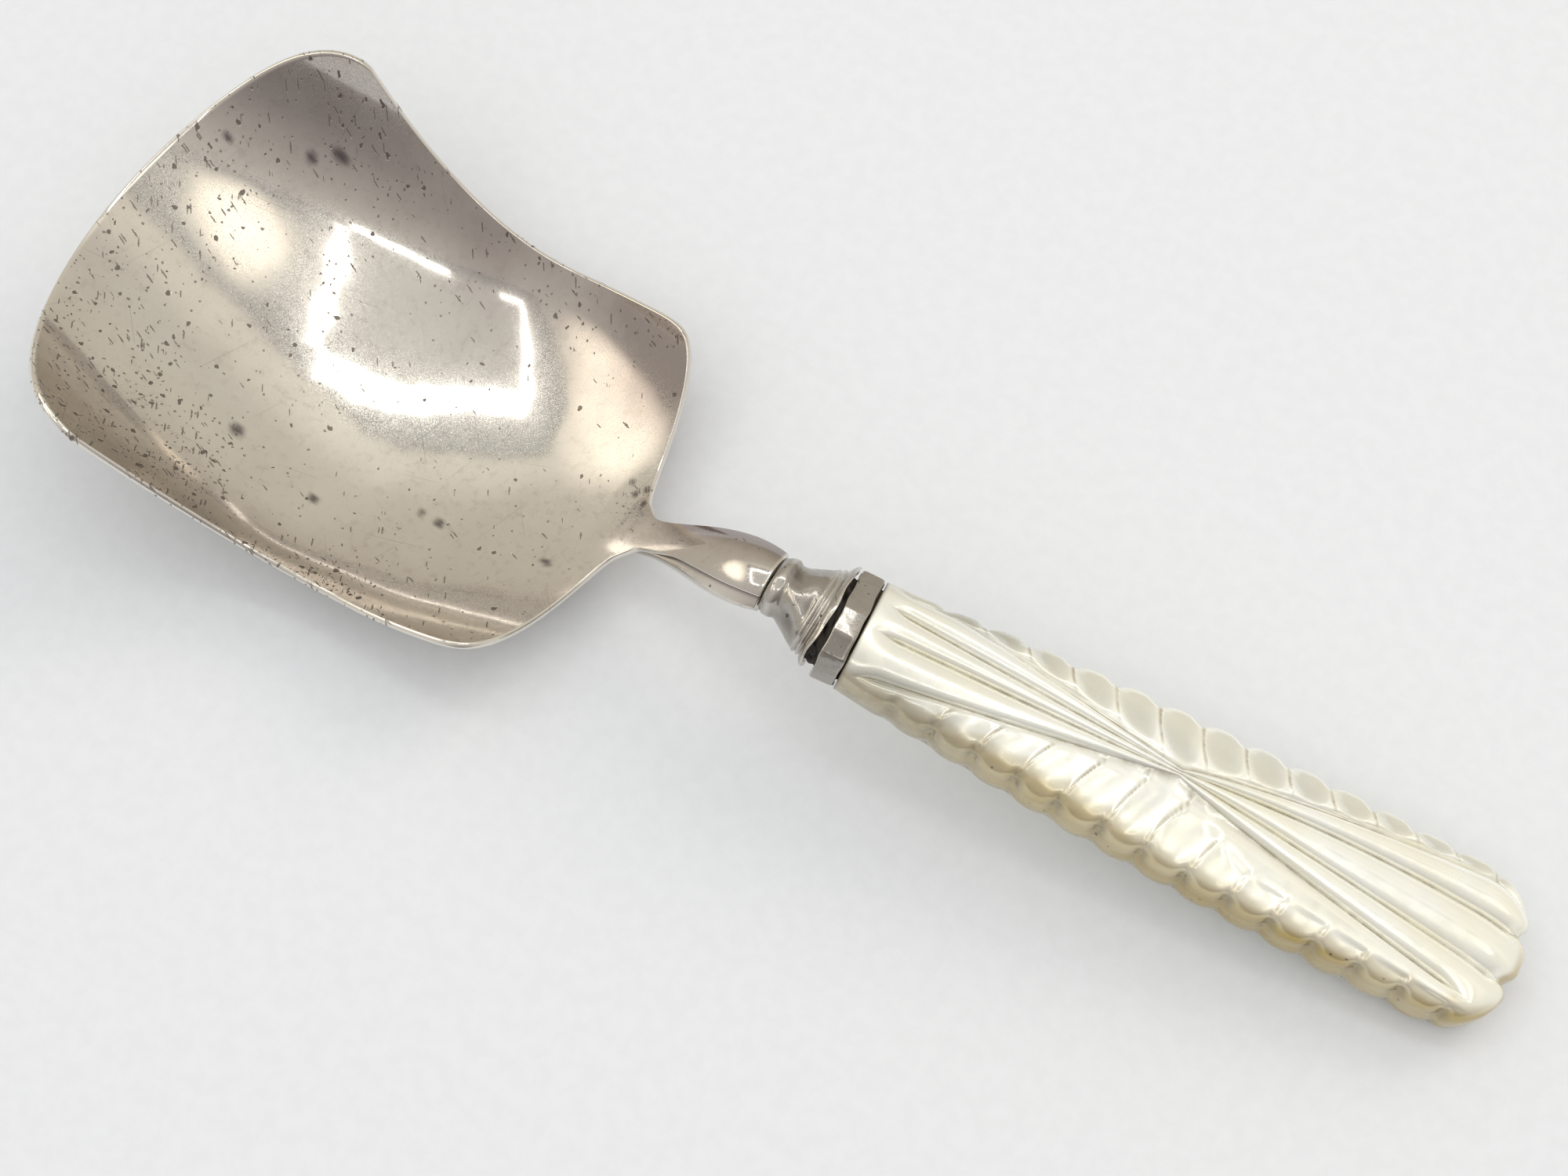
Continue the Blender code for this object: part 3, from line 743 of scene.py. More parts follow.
@dataclass(frozen=True)
class BowlWear:
    """Where the bowl is pitted, browned and stained: bands along X, across Y or over the half width."""

    lip: Band = Band(0.004, 0.026)
    near: Band = Band(0.0, 1.0)
    far: Band = Band(0.25, 1.0)
    rims: Band = Band(0.7, 1.0)
    near_rim_side: Band = Band(0.74, 0.98)
    near_rim_start: Band = Band(-0.02, -0.01)
    near_rim_end: Band = Band(-0.002, 0.012)
    middle_start: Band = Band(-0.008, 0.006)
    middle_side: Band = Band(0.6, 0.9)
    far_middle_start: Band = Band(-0.012, -0.002)
    far_middle_end: Band = Band(0.008, 0.014)
    corner_x: Band = Band(0.004, 0.015)
    corner_y: Band = Band(0.003, 0.011)
    stem_far_side: Band = Band(0.1, 0.95)
    stem_far_length: float = 0.003
    tongue_start: float = 0.003
    tongue_end: float = 0.002
    pits_everywhere: float = 0.05
    pits_near: float = 0.12
    pits_lip: float = 0.17
    pits_lip_near: float = 0.30
    pits_rims: float = 0.10
    pits_root: float = 0.8
    pits_far: float = 0.06
    pits_near_rim: float = 0.3
    middle_clean: float = 0.5
    stem_clean: float = 0.6
    brown_everywhere: float = 0.08
    brown_far: float = 0.22
    brown_rims: float = 0.16
    brown_lip: float = 0.16
    near_lip_lightening: float = 0.8
    brown_corner: float = 0.95
    brown_stem_far: float = 0.7
    brown_near_rim: float = 0.4
    brown_far_middle: float = 0.35
    brown_tongue: float = 0.45
    root_pits: Triple = (0.0186, 0.0022, 0.0019)
    stains: tuple[Span, ...] = (
        (-0.01253, -0.00885, 0.00062, 0.00050),
        (-0.00468, -0.00995, 0.00050, 0.00034),
        (0.00485, -0.00616, 0.00055, 0.00034),
        (0.00304, -0.00611, 0.00042, 0.00024),
        (0.01476, -0.00522, 0.00060, 0.00026),
        (-0.02536, 0.01001, 0.00042, 0.00032),
        (-0.01949, 0.01282, 0.00050, 0.00040),
        (-0.01755, 0.01423, 0.00080, 0.00040),
        (0.0170, 0.0040, 0.00035, 0.00022),
        (0.0179, 0.0031, 0.00030, 0.00030),
        (0.0186, 0.0037, 0.00040, 0.00024),
        (0.0191, 0.0025, 0.00026, 0.00030),
    )

    def values(self, bowl: "Bowl", x: Array, y: Array, edge: Array) -> Values:
        """Work out what the finish reads.

        Args:
            bowl: Shape of the sheet.
            x: Places along the bowl.
            y: Places across it.
            edge: 1 on the rim.

        Returns:
            Pits crowd the lip's near corner, the rims and the stem's root, and thin out in the
            middle.  The far wall, the heel's far corner and the tongue are the brownest, and the near lip
            is kept less brown as painted light that lightens the reflection there.  A stain
            fades as an exponential of the fourth power of the distance from it.
        """
        side = y / bowl.waist_half_width
        lip = self.lip.of(-x)
        near = self.near.of(-side)
        far = self.far.of(side)
        rims = self.rims.of(np.abs(side))
        stem = smooth(x, bowl.root_x, bowl.neck_x)
        near_rim = self.near_rim_side.of(-side) * self.near_rim_start.of(x) * self.near_rim_end.left(x)
        root_x, root_y, root_reach = self.root_pits
        root = np.exp(-((x - root_x) ** 2 + (y - root_y) ** 2) / root_reach**2)
        pitting = self.pits_everywhere + self.pits_near * near
        pitting = pitting + lip * (self.pits_lip + self.pits_lip_near * near)
        pitting = pitting + self.pits_rims * rims + self.pits_root * root + self.pits_far * far
        pitting = pitting + self.pits_near_rim * near_rim
        middle = self.middle_start.of(x) * self.middle_side.left(np.abs(side)) * (1.0 - root)
        pitting = pitting * (1.0 - self.middle_clean * middle) * (1.0 - self.stem_clean * stem)

        # Painted light: less brown at the near lip, to lighten the reflection there.
        lightened = 1.0 - self.near_lip_lightening * near * lip
        tarnish = self.brown_far * far + (self.brown_rims * rims + self.brown_lip * lip) * lightened
        tarnish = tarnish + self.brown_corner * self.corner_x.of(x) * self.corner_y.of(y)
        tarnish = self.brown_everywhere + (1.0 - stem) * tarnish
        stem_far = smooth(x, bowl.neck_x, bowl.neck_x + self.stem_far_length)
        stem_far = stem_far * self.stem_far_side.of(y / bowl.tongue_half_width(x))
        far_middle = far * self.far_middle_start.of(x) * self.far_middle_end.left(x)
        tongue = smooth(x, bowl.root_x + self.tongue_start, bowl.neck_x + self.tongue_end)
        tarnish = tarnish + self.brown_stem_far * stem_far + self.brown_near_rim * near_rim
        tarnish = tarnish + self.brown_far_middle * far_middle + self.brown_tongue * tongue

        spots = np.array(self.stains)
        along = (x[:, None] - spots[:, 0]) / spots[:, 2]
        across = (y[:, None] - spots[:, 1]) / spots[:, 3]
        stain = np.exp(-((along**2 + across**2) ** 2)).sum(axis=1)
        return {"pitting": pitting, "tarnish": tarnish, "edge": edge, "stain": stain}


@dataclass
class Bowl:
    """The shovel bowl and the tongue that it runs into, raised from one sheet."""

    stem_end_x: float = 0.03234
    stem_end_height: float = 0.01081
    sheet: float = 0.00055
    tip_reach: float = 0.0294
    lip_depth: float = 0.01256
    lip_power_along: float = 1.36
    lip_power_across: float = 2.04
    waist_x: float = 0.0039
    waist_half_width: float = 0.01682
    front_flare: float = 0.00237
    rear_taper: float = 0.00225
    shoulder_x: float = 0.00868
    heel_length: float = 0.01292
    heel_power: float = 7.4
    heel_sweep: float = 9.2
    lip_rise: float = 0.01158
    lip_curve: float = 1.58
    heel_rise: float = 0.00541
    heel_curve: float = 1.86
    dish_softness: float = 0.004
    dish_blend: float = 0.009
    wall_rise: float = 0.00527
    wall_round_share: float = 0.56
    wall_power: float = 4.7
    wall_spread: float = 1.09
    flat_depth: float = 0.00012
    root_x: float = 0.016
    root_half_width: float = 0.0035
    root_power: float = 4.0
    neck_half_width: float = 0.0013
    stem_half_width: float = 0.0024
    stem_end_half_width: float = 0.00215
    neck_half_depth: float = 0.0011
    stem_half_depth: float = 0.0022
    stem_end_half_depth: float = 0.0019
    tongue_crown: float = 0.0011
    ripple_depth: float = 0.0000012
    ripple_waves: tuple[Span, ...] = (
        (1.0, 900.0, 400.0, 0.0), (1.0, -500.0, 1300.0, 1.0),
        (1.0, 1700.0, -900.0, 2.0), (1.0, 1500.0, 2100.0, 0.5),
    )
    rim_round: float = 0.00012
    neck_fillet: float = 0.0007
    neck_fillet_x: float = 0.0199
    neck_fillet_length: float = 0.0008
    near_trim: float = 0.22
    near_trim_length: float = 0.003
    wear: BowlWear = BowlWear()
    front_rows: int = 150
    heel_rows: int = 84
    tongue_rows: int = 46
    columns: int = 130
    rim_steps: int = 6

    @property
    def neck_x(self) -> float:
        """Where the heel has narrowed to the stem."""
        return self.shoulder_x + self.heel_length

    @property
    def lip_x(self) -> float:
        """Where the sides end and the rounded lip starts."""
        return self.lip_depth - self.tip_reach

    @property
    def floor_height(self) -> float:
        """Height of the middle of the sheet over the worn flat."""
        return self.sheet / 2.0 - self.flat_depth

    def swell(self, x: Array, neck: float, full: float, end: float) -> Array:
        """A size of the stem: it eases up from the neck, then rounds in to the ferrule."""
        swell_end = self.stem_end_x - self.stem_half_width
        end_share = np.clip((x - swell_end) / self.stem_half_width, 0.0, 1.0)
        return neck + (full - neck) * smooth(x, self.neck_x, swell_end) + (end - full) * end_share**2

    def tongue_half_width(self, x: Array) -> Array:
        """Half width of the tongue over the stem."""
        return self.swell(x, self.neck_half_width, self.stem_half_width, self.stem_end_half_width)

    def rod_half_depth(self, x: Array) -> Array:
        """Half depth of the stem."""
        return self.swell(x, self.neck_half_depth, self.stem_half_depth, self.stem_end_half_depth)

    def side_half_width(self, x: Array) -> Array:
        """Half width of the sheet.

        Args:
            x: Places along the bowl.

        Returns:
            A parabola each side of the waist, swept in at the heel by a power of a power, with a
            bell curve that fills the corner at the neck.
        """
        flare = self.front_flare * ((x - self.waist_x) / (self.lip_x - self.waist_x)) ** 2
        taper = -self.rear_taper * ((x - self.waist_x) / (self.neck_x - self.waist_x)) ** 2
        bowl = self.waist_half_width + np.where(x < self.waist_x, flare, taper)
        share = np.clip((x - self.shoulder_x) / self.heel_length, 0.0, 1.0)
        heel = (1.0 - share**self.heel_power) ** self.heel_sweep
        fillet = self.neck_fillet * np.exp(-(((x - self.neck_fillet_x) / self.neck_fillet_length) ** 2))
        tongue = self.tongue_half_width(x)
        return tongue + (bowl - tongue) * heel + fillet

    def dish(self, x: Array, reach: float, rise: float, curve: float) -> Array:
        """A power curve, rounded where it is lowest, that climbs to rise at reach."""
        bend = (1.0 + (x / self.dish_softness) ** 2) ** (curve / 2.0) - 1.0
        full = (1.0 + (reach / self.dish_softness) ** 2) ** (curve / 2.0) - 1.0
        return rise * bend / full

    def bowl_spine(self, x: Array) -> Array:
        """Height of the dished sheet on the centre line: lip dish easing into heel dish."""
        lip = self.dish(x, self.tip_reach, self.lip_rise, self.lip_curve)
        heel = self.dish(x, self.neck_x, self.heel_rise, self.heel_curve)
        return self.floor_height + lip + (heel - lip) * smooth(x, -self.dish_blend, self.dish_blend)

    def spine(self, x: Array) -> Array:
        """Height on the centre line.

        Args:
            x: Places along the bowl and the stem.

        Returns:
            The dish, then a cubic Hermite arch that leaves it at its slope and ends level.
        """
        step = self.sheet / 10.0
        start = float(self.bowl_spine(np.array(self.root_x)))
        ends = self.bowl_spine(np.array([self.root_x - step, self.root_x + step]))
        start_slope = float(ends[1] - ends[0]) / (2.0 * step)
        reach = self.stem_end_x - self.root_x
        climb = self.stem_end_height + self.stem_end_half_depth - self.sheet / 2.0 - start
        share = np.clip((x - self.root_x) / reach, 0.0, 1.0)
        arch = start + start_slope * reach * share * (1.0 - share) ** 2
        arch = arch + climb * share**2 * (3.0 - 2.0 * share)
        return np.where(x < self.root_x, self.bowl_spine(x), arch)

    def height(self, x: Array, y: Array) -> Array:
        """Height of the middle of the sheet.

        Args:
            x: Places along the bowl.
            y: Places across it.

        Returns:
            The spine, plus walls that rise as a mix of a square and a higher power of the
            distance from the centre line, plus the stem's root, less the tongue's crown,
            plus the faint ripple that hammering leaves.
        """
        side = np.abs(y) / self.waist_half_width
        section = self.wall_round_share * side**2 + (1.0 - self.wall_round_share) * side**self.wall_power
        wall = self.wall_rise * section * (1.0 + self.wall_spread * (x / self.tip_reach) ** 2)
        lift = self.spine(x) - self.bowl_spine(x)
        root = lift / (1.0 + (y / self.root_half_width) ** self.root_power)
        crown = smooth(x, self.neck_x, self.stem_end_x) * (y / self.side_half_width(x)) ** 2
        return self.bowl_spine(x) + wall + root - self.tongue_crown * crown + self.ripple(x, y)

    def ripple(self, x: Array, y: Array) -> Array:
        """Faint unevenness: four crossing waves of a few millimetres."""
        return self.ripple_depth * waves(self.ripple_waves, x, y)

    def normal(self, x: Array, y: Array) -> Array:
        """Upward normal of the sheet.

        Args:
            x: Places along the bowl.
            y: Places across it.

        Returns:
            Unit vectors, from the slopes of the height over a small step each way.
        """
        step = self.sheet / 20.0
        slope_x = (self.height(x + step, y) - self.height(x - step, y)) / (2.0 * step)
        slope_y = (self.height(x, y + step) - self.height(x, y - step)) / (2.0 * step)
        upward = np.stack([-slope_x, -slope_y, np.ones_like(slope_x)], axis=-1)
        return upward / np.linalg.norm(upward, axis=-1, keepdims=True)

    def plan(self) -> tuple[Array, Array]:
        """Lay the grid out in plan.

        Returns:
            x and y of each point: rows run from the superellipse of the lip to the shoulder,
            then straight across the heel and the tongue, and columns share out the width,
            which is trimmed on the tongue's near side.
        """
        turn = np.linspace(-1.0, 1.0, self.columns)[None, :] * math.pi / 2.0
        fraction = signed_power(np.sin(turn), 2.0 / self.lip_power_across)
        lip = self.lip_x - self.lip_depth * np.abs(np.cos(turn)) ** (2.0 / self.lip_power_along)
        ahead = np.linspace(0.0, 1.0, self.front_rows, endpoint=False)[:, None]
        front = lip + (self.shoulder_x - lip) * ahead
        heel = np.linspace(self.shoulder_x, self.neck_x, self.heel_rows, endpoint=False)
        tongue = np.linspace(self.neck_x, self.stem_end_x, self.tongue_rows)
        behind = np.concatenate([heel, tongue])[:, None] + np.zeros_like(turn)
        x = np.concatenate([front, behind])
        trim = self.near_trim * smooth(x, self.neck_x, self.neck_x + self.near_trim_length)
        return x, fraction * self.side_half_width(x) * np.where(fraction < 0.0, 1.0 - trim, 1.0)

    def build(self, material: Material) -> Item:
        """Make the sheet: upper and lower faces half a thickness off its middle, joined by a round rim.

        Args:
            material: Finish.

        Returns:
            The piece that stands for the bowl.
        """
        x, y = self.plan()
        rows, columns = x.shape
        middle = np.stack([x, y, self.height(x, y)], axis=-1)
        upward = self.normal(x, y)
        half = self.sheet / 2.0
        top = middle + upward * half
        under = middle - upward * half
        number = np.arange(rows * columns).reshape(rows, columns)
        loop = np.concatenate([number[0, :-1], number[:-1, -1], number[-1, :0:-1], number[:0:-1, 0]])
        base = middle.reshape(-1, 3)[loop]
        lean = upward.reshape(-1, 3)[loop]
        along = np.roll(base, -1, axis=0) - np.roll(base, 1, axis=0)
        out = np.cross(along, lean)
        out /= np.linalg.norm(out, axis=-1, keepdims=True)
        out *= np.sign(((base - middle.mean(axis=(0, 1))) * out).sum())
        turn = np.linspace(0.0, math.pi, self.rim_steps + 1)[1:-1, None, None]
        rim = base + half * np.cos(turn) * lean + self.rim_round * np.sin(turn) * out
        points = np.concatenate([top.reshape(-1, 3), under.reshape(-1, 3), rim.reshape(-1, 3)])
        points[:, 2] = np.maximum(points[:, 2], 0.0)

        count = rows * columns
        upper = Mesh.weave(rows, columns)
        lower = upper[:, ::-1] + count
        first = 2 * count
        ring = len(loop)
        hoops = np.arange(ring * (self.rim_steps - 1)).reshape(-1, ring) + first
        hoops = np.concatenate([loop[None], hoops, loop[None] + count])
        following = np.roll(hoops, -1, axis=1)
        strip = np.stack([hoops[:-1], hoops[1:], following[1:], following[:-1]], axis=-1).reshape(-1, 4)
        if np.dot(np.cross(points[strip[0, 1]] - points[strip[0, 0]], along[0]), out[0]) > 0.0:
            strip = strip[:, ::-1]
        faces = np.concatenate([upper, lower, strip]).tolist()
        source = np.concatenate([number.ravel(), number.ravel(), np.tile(loop, self.rim_steps - 1)])
        edge = np.zeros(len(points))
        edge[hoops] = 1.0
        values = self.wear.values(self, x.ravel()[source], y.ravel()[source], edge)
        values["stain"][count:] = 0.0
        sheet = Mesh(points, faces, values)
        return sheet.piece("bowl_sheet", material, Slot.SILVER, "bowl")


@dataclass
class StemRod:
    """The rod soldered under the tongue, running out under the heel as a drop."""

    bowl: Bowl
    drop_length: float = 0.0065
    drop_tip_share: float = 0.3
    solder_gap: float = 0.00008
    proud: float = 0.0003
    seam_width: float = 0.0003
    seam_above: Band = Band(-0.2, 0.2)
    seam_shade_brown: float = 0.3
    seam_shade: float = 0.85
    pits: float = 0.06
    brown: float = 0.25
    rows: int = 120
    columns: int = 56

    def build(self, material: Material) -> Item:
        """Carry an ellipse along the stem and press it flat under the sheet.

        Args:
            material: Finish.

        Returns:
            The piece that stands for the rod.
        """
        bowl = self.bowl
        start = bowl.neck_x - self.drop_length
        x = np.linspace(start, bowl.stem_end_x, self.rows)[:, None]
        turn = turns(self.columns)[None, :]
        taper = self.drop_tip_share + (1.0 - self.drop_tip_share) * smooth(x, start, bowl.neck_x)
        proud = self.proud * smooth(x, bowl.neck_x - self.drop_length / 2.0, bowl.neck_x + self.drop_length)
        half_width = bowl.tongue_half_width(x) * taper + proud
        half_depth = bowl.rod_half_depth(x) * taper + proud / 2.0
        step = bowl.sheet / 10.0
        slope = (bowl.spine(x + step) - bowl.spine(x - step)) / (2.0 * step)
        drop = bowl.sheet / 2.0 * np.hypot(1.0, slope) + self.solder_gap
        middle = bowl.spine(x) + bowl.sheet / 2.0 - half_depth - (1.0 - taper) * bowl.sheet
        y = half_width * np.cos(turn)
        z = np.minimum(middle + half_depth * np.sin(turn), bowl.height(x, y) - drop)
        grid = grid_of(x, y, z)
        sheet_edge = bowl.tongue_half_width(x) * np.where(y < 0.0, 1.0 - bowl.near_trim, 1.0)
        seam = self.seam_above.of(np.sin(turn)) * (1.0 - smooth(np.abs(y) - sheet_edge, 0.0, self.seam_width))
        # Painted shade: browner and darker on the rod just under and beside the sheet's edge, along the seam.
        values = {
            "pitting": self.pits,
            "tarnish": self.brown + self.seam_shade_brown * seam,
            "edge": 0.0,
            "stain": self.seam_shade * seam,
        }
        return Mesh.tube(grid, values).piece("stem_rod", material, Slot.SILVER, "stem_back")


@dataclass
class Ferrule:
    """Thin moulded socket, crumpled by use, with a flared rim.

    Its profile, a bead, a groove, ridges and the rim, is in shares of length and of growth in radius.
    """

    joint: Joint
    front_x: float = -0.00749
    rim_x: float = -0.00284
    rim_push: float = 0.00037
    rim_skew: float = -0.00008
    rim_lift: float = 0.0004
    small_radius: float = 0.00215
    rim_radius: float = 0.0044
    rim_flatten: float = 0.76
    wall: float = 0.0004
    hole_radius: float = 0.0011
    crumple_depth: float = 0.00008
    floor_share: float = 0.2
    loose_band: Band = Band(0.02, 0.35)
    fold_waves: tuple[Span, ...] = ((1.0, 3.0, 6.0, 0.0), (0.8, 5.0, -8.0, 1.0), (0.5, 7.0, -14.0, 0.5))
    rim_band: Band = Band(0.3, 1.0)
    edge_band: Band = Band(0.84, 1.0)
    edge_waves: tuple[Span, ...] = ((1.0, 4.0, 0.0, 0.6), (0.5, 9.0, 0.0, 0.0))
    edge_back: float = 1.5
    hollow_band: Band = Band(0.2, 2.0)
    bright_band: Band = Band(0.93, 1.0)
    worn_ridges: tuple[Pair, ...] = ((0.14, 0.05), (0.745, 0.02), (0.82, 0.018))
    worn_share: float = 0.6
    pits: float = 0.05
    hollow_pits: float = 0.08
    brown: float = 0.6
    hollow_brown: float = 0.37
    profile: tuple[Pair, ...] = (
        (0.0, 0.02), (0.06, 0.10), (0.14, 0.14), (0.21, 0.12), (0.27, 0.06), (0.36, 0.12), (0.5, 0.29),
        (0.62, 0.46), (0.70, 0.56), (0.745, 0.66), (0.775, 0.61), (0.82, 0.72), (0.85, 0.67),
        (0.90, 0.83), (0.95, 0.96), (1.0, 1.0),
    )
    profile_steps: int = 90
    around: int = 160

    def build(self, material: Material) -> Item:
        """Carry the closed wall profile round the axis, flatten it to an oval and crumple it.

        Args:
            material: Finish.

        Returns:
            The piece that stands for the ferrule.
        """
        share = np.linspace(0.0, 1.0, self.profile_steps)
        grown = curve_through(np.array(self.profile), share)
        outer = self.small_radius + (self.rim_radius - self.small_radius) * grown
        inner = outer - self.wall
        inside = share >= self.floor_share
        profile_share = np.concatenate([share, share[inside][::-1], [self.floor_share, 0.0]])
        radius = np.concatenate([outer, inner[inside][::-1], [self.hole_radius, self.hole_radius]])[:, None]
        along = profile_share[:, None]
        turn = turns(self.around)[None, :]
        loose = self.loose_band.of(along) * smooth(radius, self.hole_radius, self.small_radius)
        folds = waves(self.fold_waves, turn, along)
        radius = radius + self.crumple_depth * loose * folds
        x = self.front_x + (self.rim_x - self.front_x) * along
        upper = np.maximum(np.sin(turn), 0.0)
        push = self.rim_push + self.rim_skew * np.cos(turn) + self.rim_lift * upper
        ragged = waves(self.edge_waves, turn) - self.edge_back
        x = x + self.rim_band.of(along) * push + self.crumple_depth * self.edge_band.of(along) * ragged
        outward = np.clip((radius - self.hole_radius) / (self.rim_radius - self.hole_radius), 0.0, 1.0)
        flatten = 1.0 - (1.0 - self.rim_flatten) * smooth(along, 0.0, 1.0) * outward
        grid = grid_of(x, radius * np.cos(turn), radius * np.sin(turn) * flatten)
        grid = self.joint.seat(grid, self.joint.ferrule_tilt, 0.0)
        hollow = self.hollow_band.of(-folds)
        ridges = np.array(self.worn_ridges)
        worn = np.exp(-(((along - ridges[:, 0]) / ridges[:, 1]) ** 2)).sum(axis=1, keepdims=True)
        values = {
            "pitting": self.pits + self.hollow_pits * hollow,
            "tarnish": self.brown + self.hollow_brown * hollow,
            "edge": self.bright_band.of(along) + self.worn_share * worn,
            "stain": 0.0,
        }
        return Mesh.ring(grid, values).piece("ferrule_socket", material, Slot.WORN_SILVER, "ferrule")


@dataclass
class PitchPlug:
    """Lumpy pitch that beds the tang in the ferrule and fills the gap up to the collar."""

    joint: Joint
    collar_front: float = -0.0019
    collar_half_width: float = 0.00375
    collar_half_depth: float = 0.00265
    mouth_x: float = -0.0030
    mouth_half_width: float = 0.0036
    mouth_half_depth: float = 0.0027
    back_x: float = -0.0060
    back_radius: float = 0.0016
    hole_radius: float = 0.00105
    lump_depth: float = 0.00012
    lump_waves: tuple[Span, ...] = ((1.0, 7.0, 5.0, 0.0), (1.0, 13.0, -9.0, 1.0))
    lump_back: float = 1.0
    gap_steps: int = 12
    around: int = 120

    def build(self, material: Material, pitch_down: float) -> Item:
        """Stack ovals from the ferrule's neck to its mouth and on to the collar, round a hole.

        Args:
            material: Finish.
            pitch_down: Slope of the handle.

        Returns:
            The piece that stands for the pitch: straight runs between the ovals, with lumps of
            a few crossing waves where it shows.
        """
        turn = turns(self.around)
        circle = np.stack([0.0 * turn, np.cos(turn), np.sin(turn)], axis=-1)
        by_ferrule = (self.joint.ferrule_tilt, 0.0)
        by_collar = (pitch_down, self.joint.handle_lean)

        def oval(x: float, width: float, depth: float, seat: Pair) -> Array:
            """An oval across the axis of the ferrule or of the handle."""
            return self.joint.seat(circle * np.array((0.0, width, depth)) + np.array((x, 0.0, 0.0)), *seat)

        mouth = oval(self.mouth_x, self.mouth_half_width, self.mouth_half_depth, by_ferrule)
        front = oval(self.collar_front, self.collar_half_width, self.collar_half_depth, by_collar)
        share = np.linspace(0.0, 1.0, self.gap_steps)[:, None]
        lumps = waves(self.lump_waves, turn, share) - self.lump_back
        lumps = self.lump_depth * lumps * np.sin(math.pi * share)
        outward = front - front.mean(axis=0)
        outward = outward / np.linalg.norm(outward, axis=-1, keepdims=True)
        gap = mouth + (front - mouth) * share[..., None] + lumps[..., None] * outward
        back_hole = oval(self.back_x, self.hole_radius, self.hole_radius, by_ferrule)
        back = oval(self.back_x, self.back_radius, self.back_radius, by_ferrule)
        front_hole = oval(self.collar_front, self.hole_radius, self.hole_radius, by_collar)
        grid = np.concatenate([back_hole[None], back[None], gap, front_hole[None]])
        return Mesh.ring(grid).piece("pitch_plug", material, Slot.PITCH, "ferrule_pitch")


@dataclass
class Collar:
    """Strip of silver bent round the handle's front end, with flat facets."""

    joint: Joint
    width: float = 0.0020
    half_width: float = 0.0044
    half_depth: float = 0.0031
    wall: float = 0.0005
    squareness: float = 3.0
    facet_turns: tuple[float, ...] = (
        10.0, 28.0, 85.0, 110.0, 133.0, 160.0, 196.0, 219.0, 255.0, 298.0, 326.0, 347.0)
    painted_shade_turns: tuple[float, ...] = (0.0, 72.0, 90.0, 106.0, 113.0, 131.0, 137.0, 200.0)
    painted_shades: tuple[float, ...] = (0.55, 0.55, 0.45, 0.42, 0.97, 0.95, 0.75, 0.65)
    corner_round: float = 0.12
    edge_power: float = 5.0
    dent: float = 0.00003
    bulge_waves: tuple[Span, ...] = ((1.0, 3.0, 0.0, 1.0), (1.0, 7.0, 0.0, 0.0))
    notch_waves: tuple[Span, ...] = ((1.0, 5.0, 0.0, 2.0), (1.0, 11.0, 0.0, 0.0))
    notch_back: float = 1.5
    bright_band: Band = Band(0.9, 1.0)
    bright_share: float = 0.6
    pits: float = 0.06
    profile_steps: int = 36
    around: int = 288

    def outline(self, turn: Array) -> Array:
        """The rounded section, of unit sizes.

        Args:
            turn: Turns round the axis.

        Returns:
            Places across and up on a superellipse.
        """
        across, up = np.cos(turn), np.sin(turn)
        reach = np.abs(across) ** self.squareness + np.abs(up) ** self.squareness
        reach = reach ** (-1.0 / self.squareness)
        return np.stack([across * reach, up * reach], axis=-1)

    def build(self, material: Material, pitch_down: float) -> Item:
        """Carry a rounded strip round the faceted outline.

        Args:
            material: Finish.
            pitch_down: Slope of the handle.

        Returns:
            The piece that stands for the collar.
        """
        turn = turns(self.around)
        corners = np.radians(np.array(self.facet_turns))
        closed = np.concatenate([corners, corners[:1] + math.tau])
        place = self.outline(closed)
        look = np.where(turn < corners[0], turn + math.tau, turn)
        facets = np.stack([np.interp(look, closed, place[:, axis]) for axis in range(2)], axis=-1)
        section = facets + self.corner_round * (self.outline(turn) - facets)
        angle = turns(self.profile_steps)[:, None]
        power = 2.0 / self.edge_power
        along = signed_power(np.cos(angle), power)
        out = signed_power(np.sin(angle), power)
        inset = self.wall * (1.0 - out) / 2.0
        bulge = self.dent * waves(self.bulge_waves, turn) * along
        y = (self.half_width - inset + bulge) * section[None, :, 0]
        z = (self.half_depth - inset + bulge) * section[None, :, 1]
        notch = self.dent * (waves(self.notch_waves, turn) - self.notch_back)
        x = -self.width / 2.0 + along * (self.width / 2.0 + notch)
        grid = grid_of(x, y, z)
        grid = self.joint.seat(grid, pitch_down, self.joint.handle_lean)
        # Painted reflection shade: the tarnish varies facet by facet, darkest on the facet under the bright
        # one.
        values = {
            "pitting": self.pits,
            "tarnish": np.interp(np.degrees(turn), self.painted_shade_turns, self.painted_shades, period=360.0),
            "edge": self.bright_share * self.bright_band.of(np.abs(along)),
            "stain": 0.0,
        }
        return Mesh.ring(grid, values).piece("collar_band", material, Slot.WORN_SILVER, "collar")


